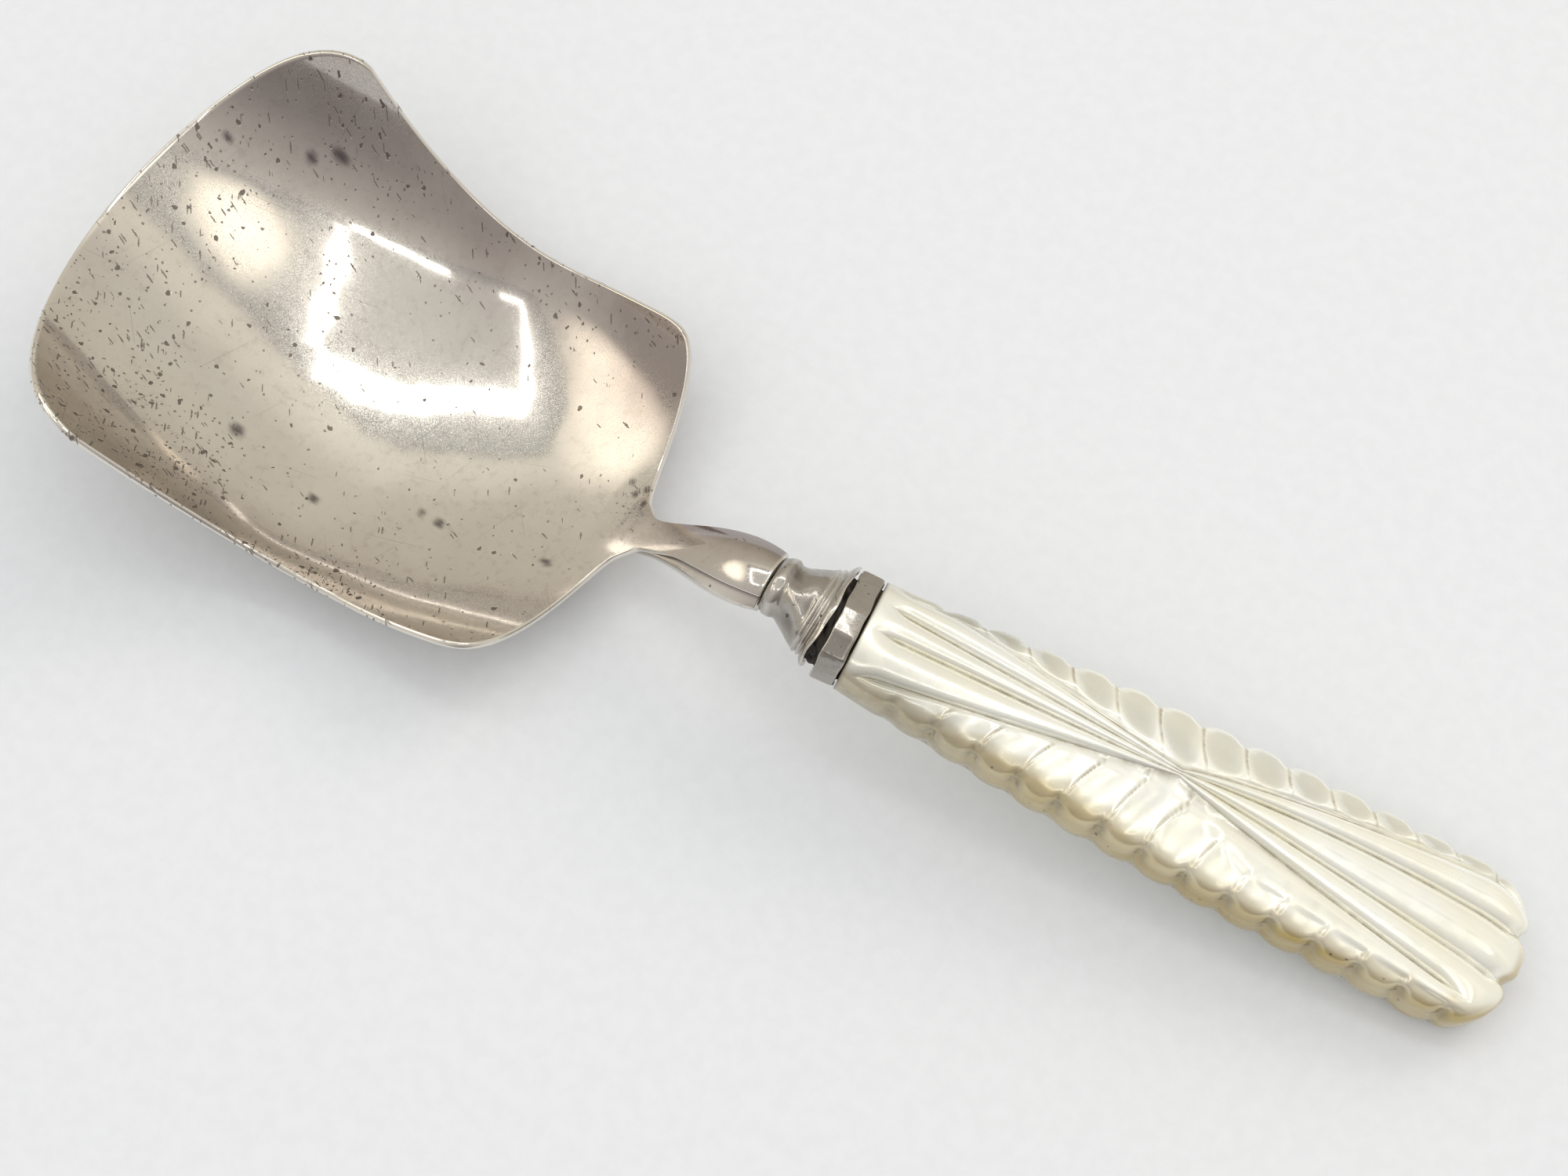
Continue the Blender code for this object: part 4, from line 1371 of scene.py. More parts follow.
@dataclass
class Sections:
    """The uncarved handle row by row, with the lines of its fans.

    rib is where in its rib a point lies, 0 and 1 on the rib's lines and -1 outside the fans, and
    power is that of its superellipse.
    """

    away: Array
    y: Array
    z: Array
    rib: Array
    power: Array
    width: Array
    depth: Array
    lines: Array
    least_reach: float = 1e-6

    def __post_init__(self) -> None:
        """Work out where each point lies on its section and beside the fans."""
        self.fan = self.rib >= 0.0
        self.far_side = self.y > 0.0
        self.across = -self.y / self.width
        self.side = np.abs(self.across)
        self.up = self.z / self.depth
        line = self.pick(self.lines[:, :1], self.lines[:, -1:])
        self.outward = self.pick(self.y - line, line - self.y)
        self.reach = np.maximum(self.width - np.abs(line), self.least_reach)
        self.share = np.clip(self.outward / self.reach, 0.0, 1.0)

    def pick(self, far: Array | float, near: Array | float) -> Array:
        """One value on the far half and another on the near one."""
        return np.where(self.far_side, far, near)

    def push(self) -> tuple[Array, Array]:
        """Outward direction.

        Returns:
            Its parts across and up, from the slopes of the superellipse.
        """
        push_y = -signed_power(self.across, self.power - 1.0) / self.width
        push_z = signed_power(self.up, self.power - 1.0) / self.depth
        size = np.hypot(push_y, push_z) + TINY
        return push_y / size, push_z / size


@dataclass
class Scallops:
    """Cuts outside the fans: their depth, and the facets, flutes and notches that make it up."""

    depth: Array
    facet: Array
    tooth: Array
    oval: Array
    valley: Array
    flutes: Array
    notches: Array


@dataclass(frozen=True)
class PearlTint:
    """Where the pearl is amber, darkened or given painted shade."""

    thin_start: Band = Band(0.9, 0.96)
    thin_end: Band = Band(0.985, 1.0)
    thin_near: Band = Band(0.027, 0.034)
    thin_fade: float = 0.75
    front: Band = Band(0.004, 0.018)
    front_shade_grey: float = 0.5
    painted_shade_oval: float = 0.6
    painted_shade_front: float = 0.18
    painted_shade_near: float = 0.7
    painted_shade_near_side: Band = Band(0.18, 0.85)
    painted_shade_far: float = 0.6
    painted_shade_far_side: Band = Band(0.6, 0.95)
    worn_share: float = 0.13
    worn_start: Band = Band(0.003, 0.014)
    worn_end: Band = Band(0.018, 0.029)
    border: Band = Band(0.74, 0.86)
    border_valley: float = 0.07
    wall: Band = Band(0.84, 0.97)
    near: Band = Band(-0.2, 0.6)
    end: Band = Band(0.0004, 0.0011)
    end_side: Band = Band(-0.7, 0.35)
    end_amber: float = 0.85
    darkening_flutes: float = 0.35
    darkening_lines: float = 0.9
    front_wall_shade: float = 0.8
    seam: Band = Band(0.0001, 0.00035)

    def values(self, handle: "Handle", at: Sections, cuts: Scallops, line_darkening: Array) -> Values:
        """Work out what the finish reads.

        Args:
            handle: Shape of the handle.
            at: Its uncarved rows.
            cuts: Cuts of the shoulders and walls.
            line_darkening: How dark the lines of the fans are.

        Returns:
            The near wall is amber, partly painted shade of the near side, greyer at the front and fading
            across the tail end.  Lines, flutes, notches and the edge of a facet are darkened, and the
            near wall at the front, the front itself and the far scoops get painted shade.
        """
        thin = cuts.facet * self.thin_start.of(cuts.tooth) * self.thin_end.left(cuts.tooth)
        thin = thin * at.pick(1.0, 1.0 - self.thin_fade * self.thin_near.of(at.away))
        front = self.front.left(at.away)
        # Painted shade: grey on the front end, more on its near and far sides, and in the far scoops.
        dusk = self.painted_shade_front + self.painted_shade_near * self.painted_shade_near_side.of(at.across)
        dusk = front * (dusk + self.painted_shade_far * self.painted_shade_far_side.of(-at.across))
        dusk = dusk + self.painted_shade_oval * at.pick(cuts.facet * np.sqrt(cuts.oval), 0.0)
        worn = self.worn_share * self.worn_start.of(at.away) * self.worn_end.left(at.away)
        border = self.border.of(at.side + worn + self.border_valley * cuts.valley)
        # Amber only on the near wall: partly the shell's own yellow, partly painted shade of the near side.
        wall = (border + self.wall.of(at.side + worn)) / 2.0 * self.near.of(at.across)
        across_end = self.end_side.of(-at.y / handle.tail_half_width)
        wall = wall + (self.end_amber * across_end - wall) * self.end.left(handle.length - at.away)
        darkening = self.darkening_flutes * cuts.flutes + cuts.notches + self.darkening_lines * (thin + line_darkening)
        # Painted shade on the near wall at the front end: groove colour in cut and less amber in wall.
        return {
            "cut": np.clip(darkening + self.front_wall_shade * front * wall, 0.0, 1.0),
            "wall": wall * (1.0 - self.front_shade_grey * front),
            "dusk": np.clip(dusk, 0.0, 1.0),
            "seam": self.seam.left(at.away) + np.zeros_like(at.y),
        }


@dataclass
class Handle:
    """One piece of pearl shell, carved with two fans of ribs and scalloped shoulders."""

    joint: Joint
    collar: Collar
    length: float = 0.0544
    front_half_width: float = 0.00442
    tail_half_width: float = 0.00645
    flare_length: float = 0.042
    flare_power: float = 2.1
    depth: float = 0.00285
    far_squareness: Pair = (2.9, 3.2)
    near_squareness: Pair = (2.6, 4.2)
    floor_squareness: Pair = (3.0, 4.6)
    tail_round: float = 0.0052
    tail_power: float = 2.3
    tail_edge_power: float = 0.5
    tail_notch: float = 0.0008
    lobe_start: float = 0.0045
    lobe_pitch: float = 0.00352
    lobe_count: int = 13
    lobe_slant: float = 0.38
    lobe_bow: float = 0.0004
    flute_depth: float = 0.00045
    far_flute_depth: float = 0.0005
    far_shift: float = 0.0003
    saw_depth: float = 0.0002
    far_saw_depth: float = 0.00006
    saw_rise: float = 0.1
    scoop_depth: float = 0.00013
    far_scoop_depth: float = 0.00035
    notch_depth: float = 0.0003
    notch_width: float = 0.00045
    rib_depth: float = 0.00036
    tail_rib_depth: float = 0.00075
    rib_steepness: float = 0.22
    groove_depth: float = 0.0003
    tail_start: float = 0.034
    groove_steepness: float = 0.3
    groove_width: float = 0.0002
    crossing: float = 0.0256
    crossing_y: float = 0.0009
    front_fan_s: float = 0.00585
    front_fan: tuple[float, ...] = (0.0041, 0.0019, 0.0002, -0.00265)
    rear_far_reach: float = 0.00495
    rear_far_power: float = 0.731
    rear_near_reach: float = -0.00566
    rear_near_power: float = 0.864
    rear_groove_reach: float = -0.00292
    rear_groove_power: float = 1.2
    rear_bow: float = 0.0013
    rear_bow_s: float = 0.0435
    line_knee: float = 0.9
    line_limit: float = 0.93
    line_darkening_power: int = 3
    fan_start: Band = Band(0.0006, 0.003)
    fan_end: Band = Band(0.0, 0.002)
    near_fade: Band = Band(0.0025, 0.006)
    shoulder_top: Band = Band(0.0, 0.25)
    facet_start: Band = Band(0.004, 0.009)
    facet_edge: Band = Band(0.03, 0.2)
    inner_share: float = 0.38
    inner_band: Band = Band(0.0265, 0.034)
    lobe_fade_in: Band = Band(-0.4, 0.3)
    lobe_fade_out: Band = Band(-0.1, 0.5)
    oval_middle: Pair = (0.45, 0.5)
    oval_half: Pair = (0.45, 0.46)
    flute_power: float = 1.25
    flute_side: Band = Band(0.88, 0.985)
    far_flute_side: Band = Band(0.8, 0.96)
    notch_low: Band = Band(0.0, 0.2)
    notch_high: Band = Band(0.72, 0.9)
    notch_side: Band = Band(0.7, 0.9)
    tail_notch_width: float = 0.0006
    tint: PearlTint = PearlTint()
    waist_gaps: tuple[float, ...] = (0.00028, 0.0001, -0.0001, -0.00028)
    clearance: float = 0.0002
    collar_line: float = 0.0001
    bore_radius: float = 0.0017
    bore_end: float = 0.0202
    steepest: float = 0.3
    slope_rows: int = 2000
    slope_steps: int = 1200
    rows_per_lobe: int = 28
    lead_rows: int = 26
    tail_rows: int = 34
    rib_columns: int = 16
    shoulder_columns: int = 36
    floor_columns: int = 30

    def tail_share(self, s: Array) -> Array:
        """How much of the full section is left where the tail rounds off, by a superellipse."""
        into = np.clip((s - self.length + self.tail_round) / self.tail_round, 0.0, 1.0)
        return (1.0 - into**self.tail_power) ** (1.0 / self.tail_power)

    def half_width(self, s: Array) -> Array:
        """Half width of the uncarved handle at a distance from the collar."""
        left = np.clip(1.0 - s / self.flare_length, 0.0, 1.0)
        flare = (self.tail_half_width - self.front_half_width) * (1.0 - left**self.flare_power)
        return (self.front_half_width + flare) * self.tail_share(s)

    def half_depth(self, s: Array) -> Array:
        """Half depth of the uncarved handle."""
        return self.depth * self.tail_share(s) ** self.tail_edge_power

    def squareness(self, s: Array, turn: Array) -> Array:
        """Power of the superellipse: rounder on the far shoulder than on the near one and underneath.

        Args:
            s: Distances from the collar, as a column.
            turn: Turns round the section, from the far side over the top.

        Returns:
            The power at each turn, easing along the flare.
        """
        ease = smooth(s, 0.0, self.flare_length)
        far, near, floor = (
            front + (tail - front) * ease
            for front, tail in (self.far_squareness, self.near_squareness, self.floor_squareness)
        )
        around = np.mod(turn, math.tau)
        return np.where(around < math.pi / 2.0, far, np.where(around <= math.pi, near, floor))

    def pitch_down(self) -> float:
        """Slope at which the underside of the tail just meets the table.

        Returns:
            The angle at which the deepest point of the handle hangs as far under the joint as
            the joint stands over the table.
        """
        s = np.linspace(0.0, self.length, self.slope_rows)[None, :]
        slope = np.linspace(0.0, self.steepest, self.slope_steps)[:, None]
        hang = (s * np.sin(slope) + self.half_depth(s) * np.cos(slope)).max(axis=1)
        return float(np.interp(self.joint.height, hang, slope[:, 0]))

    def stations(self) -> Array:
        """Space the rows along the handle.

        Returns:
            Distances from the collar: even, with a row in each valley between the lobes, and then
            crowding towards the tail end as a sine.
        """
        lead = np.linspace(self.collar_line, self.lobe_start, self.lead_rows, endpoint=False)
        count = self.lobe_count * self.rows_per_lobe
        lobes_end = self.lobe_start + self.lobe_count * self.lobe_pitch
        lobes = np.linspace(self.lobe_start, lobes_end, count, endpoint=False)
        turn = np.linspace(0.0, math.pi / 2.0, self.tail_rows, endpoint=False)
        tail = lobes_end + (self.length - lobes_end) * np.sin(turn)
        return np.concatenate([lead, lobes, tail])

    def fan_lines(self, s: Array) -> Array:
        """Lines that bound the ribs, from the far side to the near one.

        Args:
            s: Distances from the collar.

        Returns:
            Four places across for each distance: straight rays into the crossing, then
            powers of the distance past it, with one line bowed as a parabola.  Where a line
            nears the side it bends along it, by a fraction that never quite reaches 1.
        """
        ahead = np.clip((self.crossing - s) / (self.crossing - self.front_fan_s), 0.0, None)
        past = np.clip((s - self.crossing) / (self.length - self.crossing), 0.0, 1.0)
        bow = self.rear_bow_s - self.crossing
        behind = (
            self.rear_far_reach * past**self.rear_far_power,
            np.where(s > self.crossing, self.rear_bow * (1.0 - ((s - self.rear_bow_s) / bow) ** 2), 0.0),
            self.rear_groove_reach * past**self.rear_groove_power,
            self.rear_near_reach * past**self.rear_near_power,
        )
        lines = []
        for start, gap, rear in zip(self.front_fan, self.waist_gaps, behind):
            lines.append(self.crossing_y + gap + (start - self.crossing_y) * ahead + rear)
        limit = self.line_limit * self.half_width(s)[..., None]
        share = np.stack(lines, axis=-1) / limit
        over = np.maximum(np.abs(share) - self.line_knee, 0.0) / (1.0 - self.line_knee)
        bent = np.minimum(np.abs(share), self.line_knee) + (1.0 - self.line_knee) * over / (1.0 + over)
        return limit * np.sign(share) * bent

    def section(self, s: Array) -> Sections:
        """Lay out the columns of each row.

        Args:
            s: Distances from the collar, one to a row.

        Returns:
            The uncarved rows.  Columns crowd towards the lines of the ribs by a cosine, and share
            out the turn round the rest of the superellipse.
        """
        width = self.half_width(s)[:, None]
        depth = self.half_depth(s)[:, None]
        lines = self.fan_lines(s)
        share = 0.5 - 0.5 * np.cos(math.pi * np.linspace(0.0, 1.0, self.rib_columns, endpoint=False))
        starts, widths = lines[:, :-1, None], np.diff(lines, axis=1)[..., None]
        ribs = (starts + widths * share).reshape(len(s), -1)
        across = np.concatenate([ribs, lines[:, -1:]], axis=1) / width
        fan_power = self.squareness(s[:, None], np.where(across > 0.0, 0.25, 0.75) * math.pi)
        fan_turn = np.arccos(signed_power(across, fan_power / 2.0))
        near_share = np.linspace(0.0, 1.0, self.shoulder_columns + 1)[1:]
        near = fan_turn[:, -1:] + (math.pi - fan_turn[:, -1:]) * near_share
        floor_share = np.linspace(0.0, 1.0, self.floor_columns + 1)[1:]
        floor = np.tile(math.pi + math.pi * floor_share, (len(s), 1))
        far_share = np.linspace(0.0, 1.0, self.shoulder_columns + 1)[1:-1]
        far = math.tau + fan_turn[:, :1] * far_share
        turn = np.concatenate([fan_turn, near, floor, far], axis=1)
        power = self.squareness(s[:, None], turn)
        y = width * signed_power(np.cos(turn), 2.0 / power)
        z = depth * signed_power(np.sin(turn), 2.0 / power)
        rib = np.full(turn.shape, -1.0)
        rib[:, :across.shape[1]] = np.append(np.tile(share, lines.shape[1] - 1), 1.0)
        return Sections(s[:, None], y, z, rib, power, width, depth, lines)

    def cut_fans(self, at: Sections) -> tuple[Array, Array]:
        """Groove the lines of the fans and crown the ribs between them.

        Args:
            at: The uncarved rows.

        Returns:
            How deep each point is cut, and how dark the lines are.  A groove fades as an
            exponential from its line, a rib falls to its lines as a square, and the cut at the
            outer lines runs out over the shoulders.
        """
        widths = np.abs(np.diff(at.lines, axis=1))
        last = widths.shape[1] * self.rib_columns
        spread = np.zeros_like(at.y)
        spread[:, :last] = np.repeat(widths, self.rib_columns, axis=1)
        spread[:, last] = widths[:, -1]
        to_end = self.length - at.away
        started = self.fan_start.of(at.away) * self.fan_end.of(to_end)
        near_half = (np.arange(at.y.shape[1]) >= last - self.rib_columns) & (at.rib > 0.5)
        kept = np.where(near_half, self.near_fade.of(to_end), 1.0)
        deeper = (self.tail_rib_depth - self.rib_depth) * smooth(at.away, self.tail_start, self.length)
        crown = np.minimum(self.rib_depth + deeper, self.rib_steepness * spread) * started * kept
        groove = np.minimum(self.groove_depth, self.groove_steepness * spread) * started * kept
        from_line = np.minimum(at.rib, 1.0 - at.rib) * spread
        mark = np.where(at.fan, np.exp(-from_line / self.groove_width), 0.0) * kept
        cut = np.where(at.fan, groove * mark + crown * (2.0 * at.rib - 1.0) ** 2, 0.0)
        edges = groove + crown
        run_out = np.exp(-np.abs(at.outward) / self.groove_width)
        edge = at.pick(edges[:, :1], edges[:, last:last + 1]) * run_out
        cut = cut + np.where(at.fan, 0.0, self.shoulder_top.of(at.up)) * edge
        return cut, mark**self.line_darkening_power * started

    def cut_shoulders(self, at: Sections) -> Scallops:
        """Cut the facets of the shoulders, and the flutes and notches of the walls.

        Args:
            at: The uncarved rows.

        Returns:
            The cuts.  Each facet falls along the handle as a saw tooth whose edges slant and bow
            as a parabola, with a shallow oval scoop; a flute is a power of one less a sine, and a
            notch a bell curve, at each valley between the lobes.
        """
        phase = (at.away - self.lobe_start - at.pick(self.far_shift, 0.0)) / self.lobe_pitch
        carved = self.lobe_fade_in.of(phase) * self.lobe_fade_out.left(phase - self.lobe_count)
        bow = self.lobe_bow * (1.0 - (2.0 * at.share - 1.0) ** 2)
        slanted = phase - (self.lobe_slant * at.reach * (1.0 - at.share) - bow) / self.lobe_pitch
        tooth = slanted - np.floor(slanted)
        saw = np.minimum(tooth / (1.0 - self.saw_rise), (1.0 - tooth) / self.saw_rise)
        along = (tooth - self.oval_middle[0]) / self.oval_half[0]
        across = (at.share - self.oval_middle[1]) / self.oval_half[1]
        oval = np.clip(1.0 - along**2 - across**2, 0.0, 1.0)
        inner = at.pick(0.0, self.inner_share * self.inner_band.of(at.away))
        facet = self.facet_edge.of(at.share - inner) * np.where(at.fan, 0.0, self.shoulder_top.of(at.up))
        facet = facet * carved * self.facet_start.of(at.away)
        saw_depth = at.pick(self.far_saw_depth, self.saw_depth)
        scoop_depth = at.pick(self.far_scoop_depth, self.scoop_depth)

        valley = carved * (1.0 - np.abs(np.sin(math.pi * phase))) ** self.flute_power
        flutes = at.pick(self.far_flute_side.of(at.side), self.flute_side.of(at.side)) * valley
        from_valley = np.abs(phase - np.round(phase)) * self.lobe_pitch
        upper_wall = self.notch_low.of(at.up) * self.notch_high.left(at.up) * self.notch_side.of(at.across)
        notches = np.exp(-((from_valley / self.notch_width) ** 2)) * upper_wall * carved
        depth = facet * (saw_depth * saw + scoop_depth * oval)
        depth = depth + at.pick(self.far_flute_depth, self.flute_depth) * flutes + self.notch_depth * notches
        return Scallops(depth, facet, tooth, oval, valley, flutes, notches)

    def carve(self, s: Array) -> tuple[Array, Values]:
        """Cut the fans, facets and flutes into the sections.

        Args:
            s: Distances from the collar, one to a row.

        Returns:
            Points about the joint, pushed in along the normals of the sections and pulled back
            at the tail end as a bell curve from two of the lines, and values for the finish.
        """
        at = self.section(s)
        fan_depth, line_darkening = self.cut_fans(at)
        scallops = self.cut_shoulders(at)
        cut = fan_depth + scallops.depth
        push_y, push_z = at.push()
        ends = self.fan_lines(np.array([self.length - self.tail_round / 2.0]))[0, 1:3]
        near_line = np.abs(at.y[:, :, None] - ends).min(axis=-1)
        notch = np.exp(-((near_line / self.tail_notch_width) ** 2))
        notch = notch * smooth(at.away, self.length - self.tail_round, self.length)
        x = at.away - self.tail_notch * notch
        points = np.stack([x, at.y - cut * push_y, at.z - cut * push_z], axis=-1)
        return points, self.tint.values(self, at, scallops, line_darkening)

    def build(self, material: Material, pitch_down: float) -> Item:
        """Stack the bore, the spigot in the collar and the carved body as one closed surface.

        Args:
            material: Finish.
            pitch_down: Slope of the handle.

        Returns:
            The piece that stands for the handle.
        """
        s = self.stations()
        body, values = self.carve(s)
        turn = np.arctan2(body[0, :, 2] / self.half_depth(s[:1]), body[0, :, 1] / self.half_width(s[:1]))
        collar = self.collar
        inset = collar.wall + self.clearance
        unit = collar.outline(turn)
        spigot = unit * np.array((collar.half_width - inset, collar.half_depth - inset))
        hole = np.stack([np.cos(turn), np.sin(turn)], axis=-1) * self.bore_radius
        front = self.clearance - collar.width
        stack = ((self.bore_end, hole), (front, hole), (front, spigot), (self.collar_line, spigot))
        rings = [np.concatenate([np.full((len(turn), 1), x), ring], axis=1) for x, ring in stack]
        grid = np.concatenate([np.stack(rings), body])
        grid = self.joint.seat(grid, pitch_down, self.joint.handle_lean)
        grid[..., 2] = np.maximum(grid[..., 2], 0.0)
        hidden = np.ones((len(rings), len(turn)))
        values = {name: np.concatenate([hidden, value]) for name, value in values.items()}
        return Mesh.tube(grid, values).piece("pearl_handle", material, Slot.PEARL, "handle")


@dataclass
class Studio:
    """Pale floor, light strips overhead, a key lamp, a room for reflections and the camera."""

    azimuth: float = math.radians(31.55)
    elevation: float = math.radians(67.25)
    image_width: float = 2000.0
    image_height: float = 1500.0
    focal_pixels: float = 3230.0
    anchor: Triple = (0.040, 0.0, 0.0103)
    anchor_pixel: Pair = (1096.0, 809.5)
    anchor_distance: float = 0.1889
    sensor: float = 0.036
    clip: Pair = (0.01, 20.0)
    floor_colour: Triple = (0.745, 0.752, 0.758)
    pale_colour: Triple = (0.85, 0.86, 0.87)
    wall_colour: Triple = (0.48, 0.485, 0.495)
    roof_colour: Triple = (1.02, 1.025, 1.03)
    ceiling_colour: Triple = (0.77, 0.755, 0.72)
    ceiling_middle: Pair = (-0.5, 0.0)
    ceiling_half: Pair = (1.45, 0.63)
    ceiling_cut: float = -0.67
    ceiling_edge: Span = (0.94, 1.02, 1.0, 0.0)
    least_rise: float = 0.05
    roof_span: Pair = (0.0, 0.9)
    wall_stops: tuple[tuple[float, Triple], ...] = (
        (0.0, (0.25, 0.23, 0.225)), (0.075, (0.45, 0.42, 0.405)), (0.2, (0.64, 0.605, 0.575)),
        (0.35, (0.74, 0.71, 0.67)), (0.8, (0.68, 0.64, 0.56)), (1.0, (0.58, 0.53, 0.45)),
    )
    crease_colour: Triple = (0.30, 0.32, 0.33)
    crease_share: float = 0.5
    crease_rise: Pair = (0.74, 0.97)
    crease_fall: Span = (0.98, 1.06, 1.0, 0.0)
    halo_colour: Triple = (0.93, 0.88, 0.78)
    halo_rise: Pair = (0.99, 1.06)
    halo_fall: Span = (1.08, 1.5, 1.0, 0.0)
    halo_side: Pair = (-0.15, 0.2)
    strip_height: float = 0.60
    strip_centre: Pair = (-0.062, -0.111)
    strip_half: Pair = (0.282, 0.243)
    strip_turn: float = math.radians(14.1)
    strip_width: float = 0.05
    strip_gap: Pair = (0.09, -0.138)
    strip_shift: float = 0.012
    strip_shares: Triple = (0.5, 0.72, 1.3)
    strip_glow: float = 3.1
    strip_tint: Triple = (1.0, 0.985, 0.955)
    warm_tint: Triple = (1.0, 0.93, 0.80)
    key_spot: Triple = (0.75, 0.5, 0.62)
    key_size: Pair = (0.6, 0.5)
    key_glow: float = 2.75
    paper_noise: Triple = (700.0, 3.0, 0.6)
    paper_span: Pair = (0.3, 0.7)
    paper_shade: float = 0.97
    paper_rough: float = 0.9
    paper_sheen: float = 0.1
    floor_half: float = 6.0
    floor_drop: float = 0.00002
    floor_fade: Pair = (0.16, 0.5)
    glows: tuple[tuple[float, ...], ...] = (
        (0.70, 0.0, 0.11, 0.36, 2.1),
        (-1.18, 0.12, 0.60, 0.88, 2.4),
    )

    def basis(self) -> tuple[Array, Array, Array]:
        """Directions of the picture.

        Returns:
            Right, down and forward, from its azimuth and elevation.
        """
        right = np.array((math.cos(self.azimuth), math.sin(self.azimuth), 0.0))
        forward = math.cos(self.elevation) * self.away() - np.array((0.0, 0.0, math.sin(self.elevation)))
        return right, np.cross(forward, right), forward

    def place_camera(self) -> None:
        """Stand the camera so that the anchor falls on its pixel at its distance."""
        right, down, forward = self.basis()
        shift_x = (self.anchor_pixel[0] - self.image_width / 2.0) / self.focal_pixels
        shift_y = (self.anchor_pixel[1] - self.image_height / 2.0) / self.focal_pixels
        ray = forward + shift_x * right + shift_y * down
        data = bpy.data.cameras.new("photo_camera")
        data.sensor_width = self.sensor * MILLIMETRES
        data.lens = data.sensor_width * self.focal_pixels / self.image_width
        data.clip_start, data.clip_end = self.clip
        camera = bpy.data.objects.new("photo_camera", data)
        turn = Matrix(np.stack([right, -down, -forward], axis=-1).tolist()).to_4x4()
        spot = np.array(self.anchor) - self.anchor_distance * ray
        camera.matrix_world = Matrix.Translation(Vector(spot.tolist())) @ turn
        bpy.context.scene.collection.objects.link(camera)
        bpy.context.scene.camera = camera

    def panel(self, name: str, spot: Triple, aim: Triple,
              size: Pair, glow: float, colour: Triple,
              roll: float = 0.0, mirrored: bool = True) -> None:
        """Hang a rectangular lamp.

        Args:
            name: Name.
            spot: Where it hangs.
            aim: Where it faces.
            size: Its two sides.
            glow: Brightness of its face.
            colour: Tint.
            roll: Turn about its own axis.
            mirrored: Whether polished pieces show it.
        """
        data = bpy.data.lights.new(name, "AREA")
        data.shape = "RECTANGLE"
        data.size, data.size_y = size
        data.energy = glow * math.pi * size[0] * size[1]
        data.color = colour
        lamp = bpy.data.objects.new(name, data)
        look = (Vector(aim) - Vector(spot)).to_track_quat("-Z", "Y").to_matrix().to_4x4()
        lamp.matrix_world = Matrix.Translation(Vector(spot)) @ look @ Matrix.Rotation(roll, 4, "Z")
        lamp.visible_camera = False
        lamp.visible_glossy = mirrored
        bpy.context.scene.collection.objects.link(lamp)

    def strip_spot(self, along: float, across: float) -> Triple:
        """A place in the plane of the strips.

        Args:
            along: Distance from their centre along their own axis.
            across: Distance across it.

        Returns:
            The place in the frame.
        """
        cosine, sine = math.cos(self.strip_turn), math.sin(self.strip_turn)
        x = self.strip_centre[0] + along * cosine - across * sine
        y = self.strip_centre[1] + along * sine + across * cosine
        return x, y, self.strip_height

    def hang_strips(self) -> None:
        """The four light strips, the last in two lengths with a gap between them."""
        along, across = self.strip_half
        gap_start, gap_end = self.strip_gap
        right, left, away = (share * self.strip_width for share in self.strip_shares)
        near = self.strip_width
        long_side = 2.0 * across - near
        panels = (
            ("strip_right", (self.strip_shift + along, 0.0), (right, long_side)),
            ("strip_left", (self.strip_shift - along, 0.0), (left, long_side)),
            ("strip_away", (0.0, across), (2.0 * along, away)),
            ("strip_near_a", ((along + gap_start) / 2.0, -across), (along - gap_start, near)),
            ("strip_near_b", ((gap_end - along) / 2.0, -across), (along + gap_end, near)),
        )
        for name, place, size in panels:
            spot = self.strip_spot(*place)
            self.panel(name, spot, (*spot[:2], 0.0), size, self.strip_glow, self.strip_tint, self.strip_turn)

    def light(self) -> None:
        """Hang the lamps: what polished metal shows, and a key that only lights."""
        self.hang_strips()
        right, away, up = self.key_spot
        spot = right * self.basis()[0] + away * self.away() + np.array((0.0, 0.0, up))
        self.panel(
            "key", tuple(spot.tolist()), (0.0, 0.0, 0.0), self.key_size, self.key_glow, self.warm_tint,
            mirrored=False)

    def away(self) -> Array:
        """Level direction away from the camera."""
        return np.array((-math.sin(self.azimuth), math.cos(self.azimuth), 0.0))

    def wall_tone(self, bench: NodeBench) -> Socket:
        """Tones of the room's walls.

        Args:
            bench: Where to add the nodes.

        Returns:
            The tone in each direction, from behind the camera to beyond the spoon.
        """
        tones = bench.add("ShaderNodeValToRGB")
        facing = bench.dot(tuple(self.away().tolist()))
        bench.feed(tones.inputs["Fac"], bench.math("MULTIPLY_ADD", facing, 0.5, 0.5))
        ramp = tones.color_ramp.elements
        while len(ramp) < len(self.wall_stops):
            ramp.new(0.5)
        for stop, (position, colour) in zip(ramp, self.wall_stops):
            stop.position = position
            stop.color = (*colour, 1.0)
        return tones.outputs["Color"]

    def strip_places(self, bench: NodeBench) -> list[Socket]:
        """Where a ray from the origin meets the plane of the strips.

        Args:
            bench: Where to add the nodes.

        Returns:
            Places along and across from the strips' centre, as shares of their height.
        """
        cosine, sine = math.cos(self.strip_turn), math.sin(self.strip_turn)
        upward = bench.plain("MAXIMUM", bench.dot((0.0, 0.0, 1.0)), self.least_rise)
        places = []
        for axis in ((cosine, sine, 0.0), (-sine, cosine, 0.0)):
            centre = axis[0] * self.strip_centre[0] + axis[1] * self.strip_centre[1]
            tangent = bench.plain("DIVIDE", bench.dot(axis), upward)
            places.append(bench.plain("SUBTRACT", tangent, centre / self.strip_height))
        return places

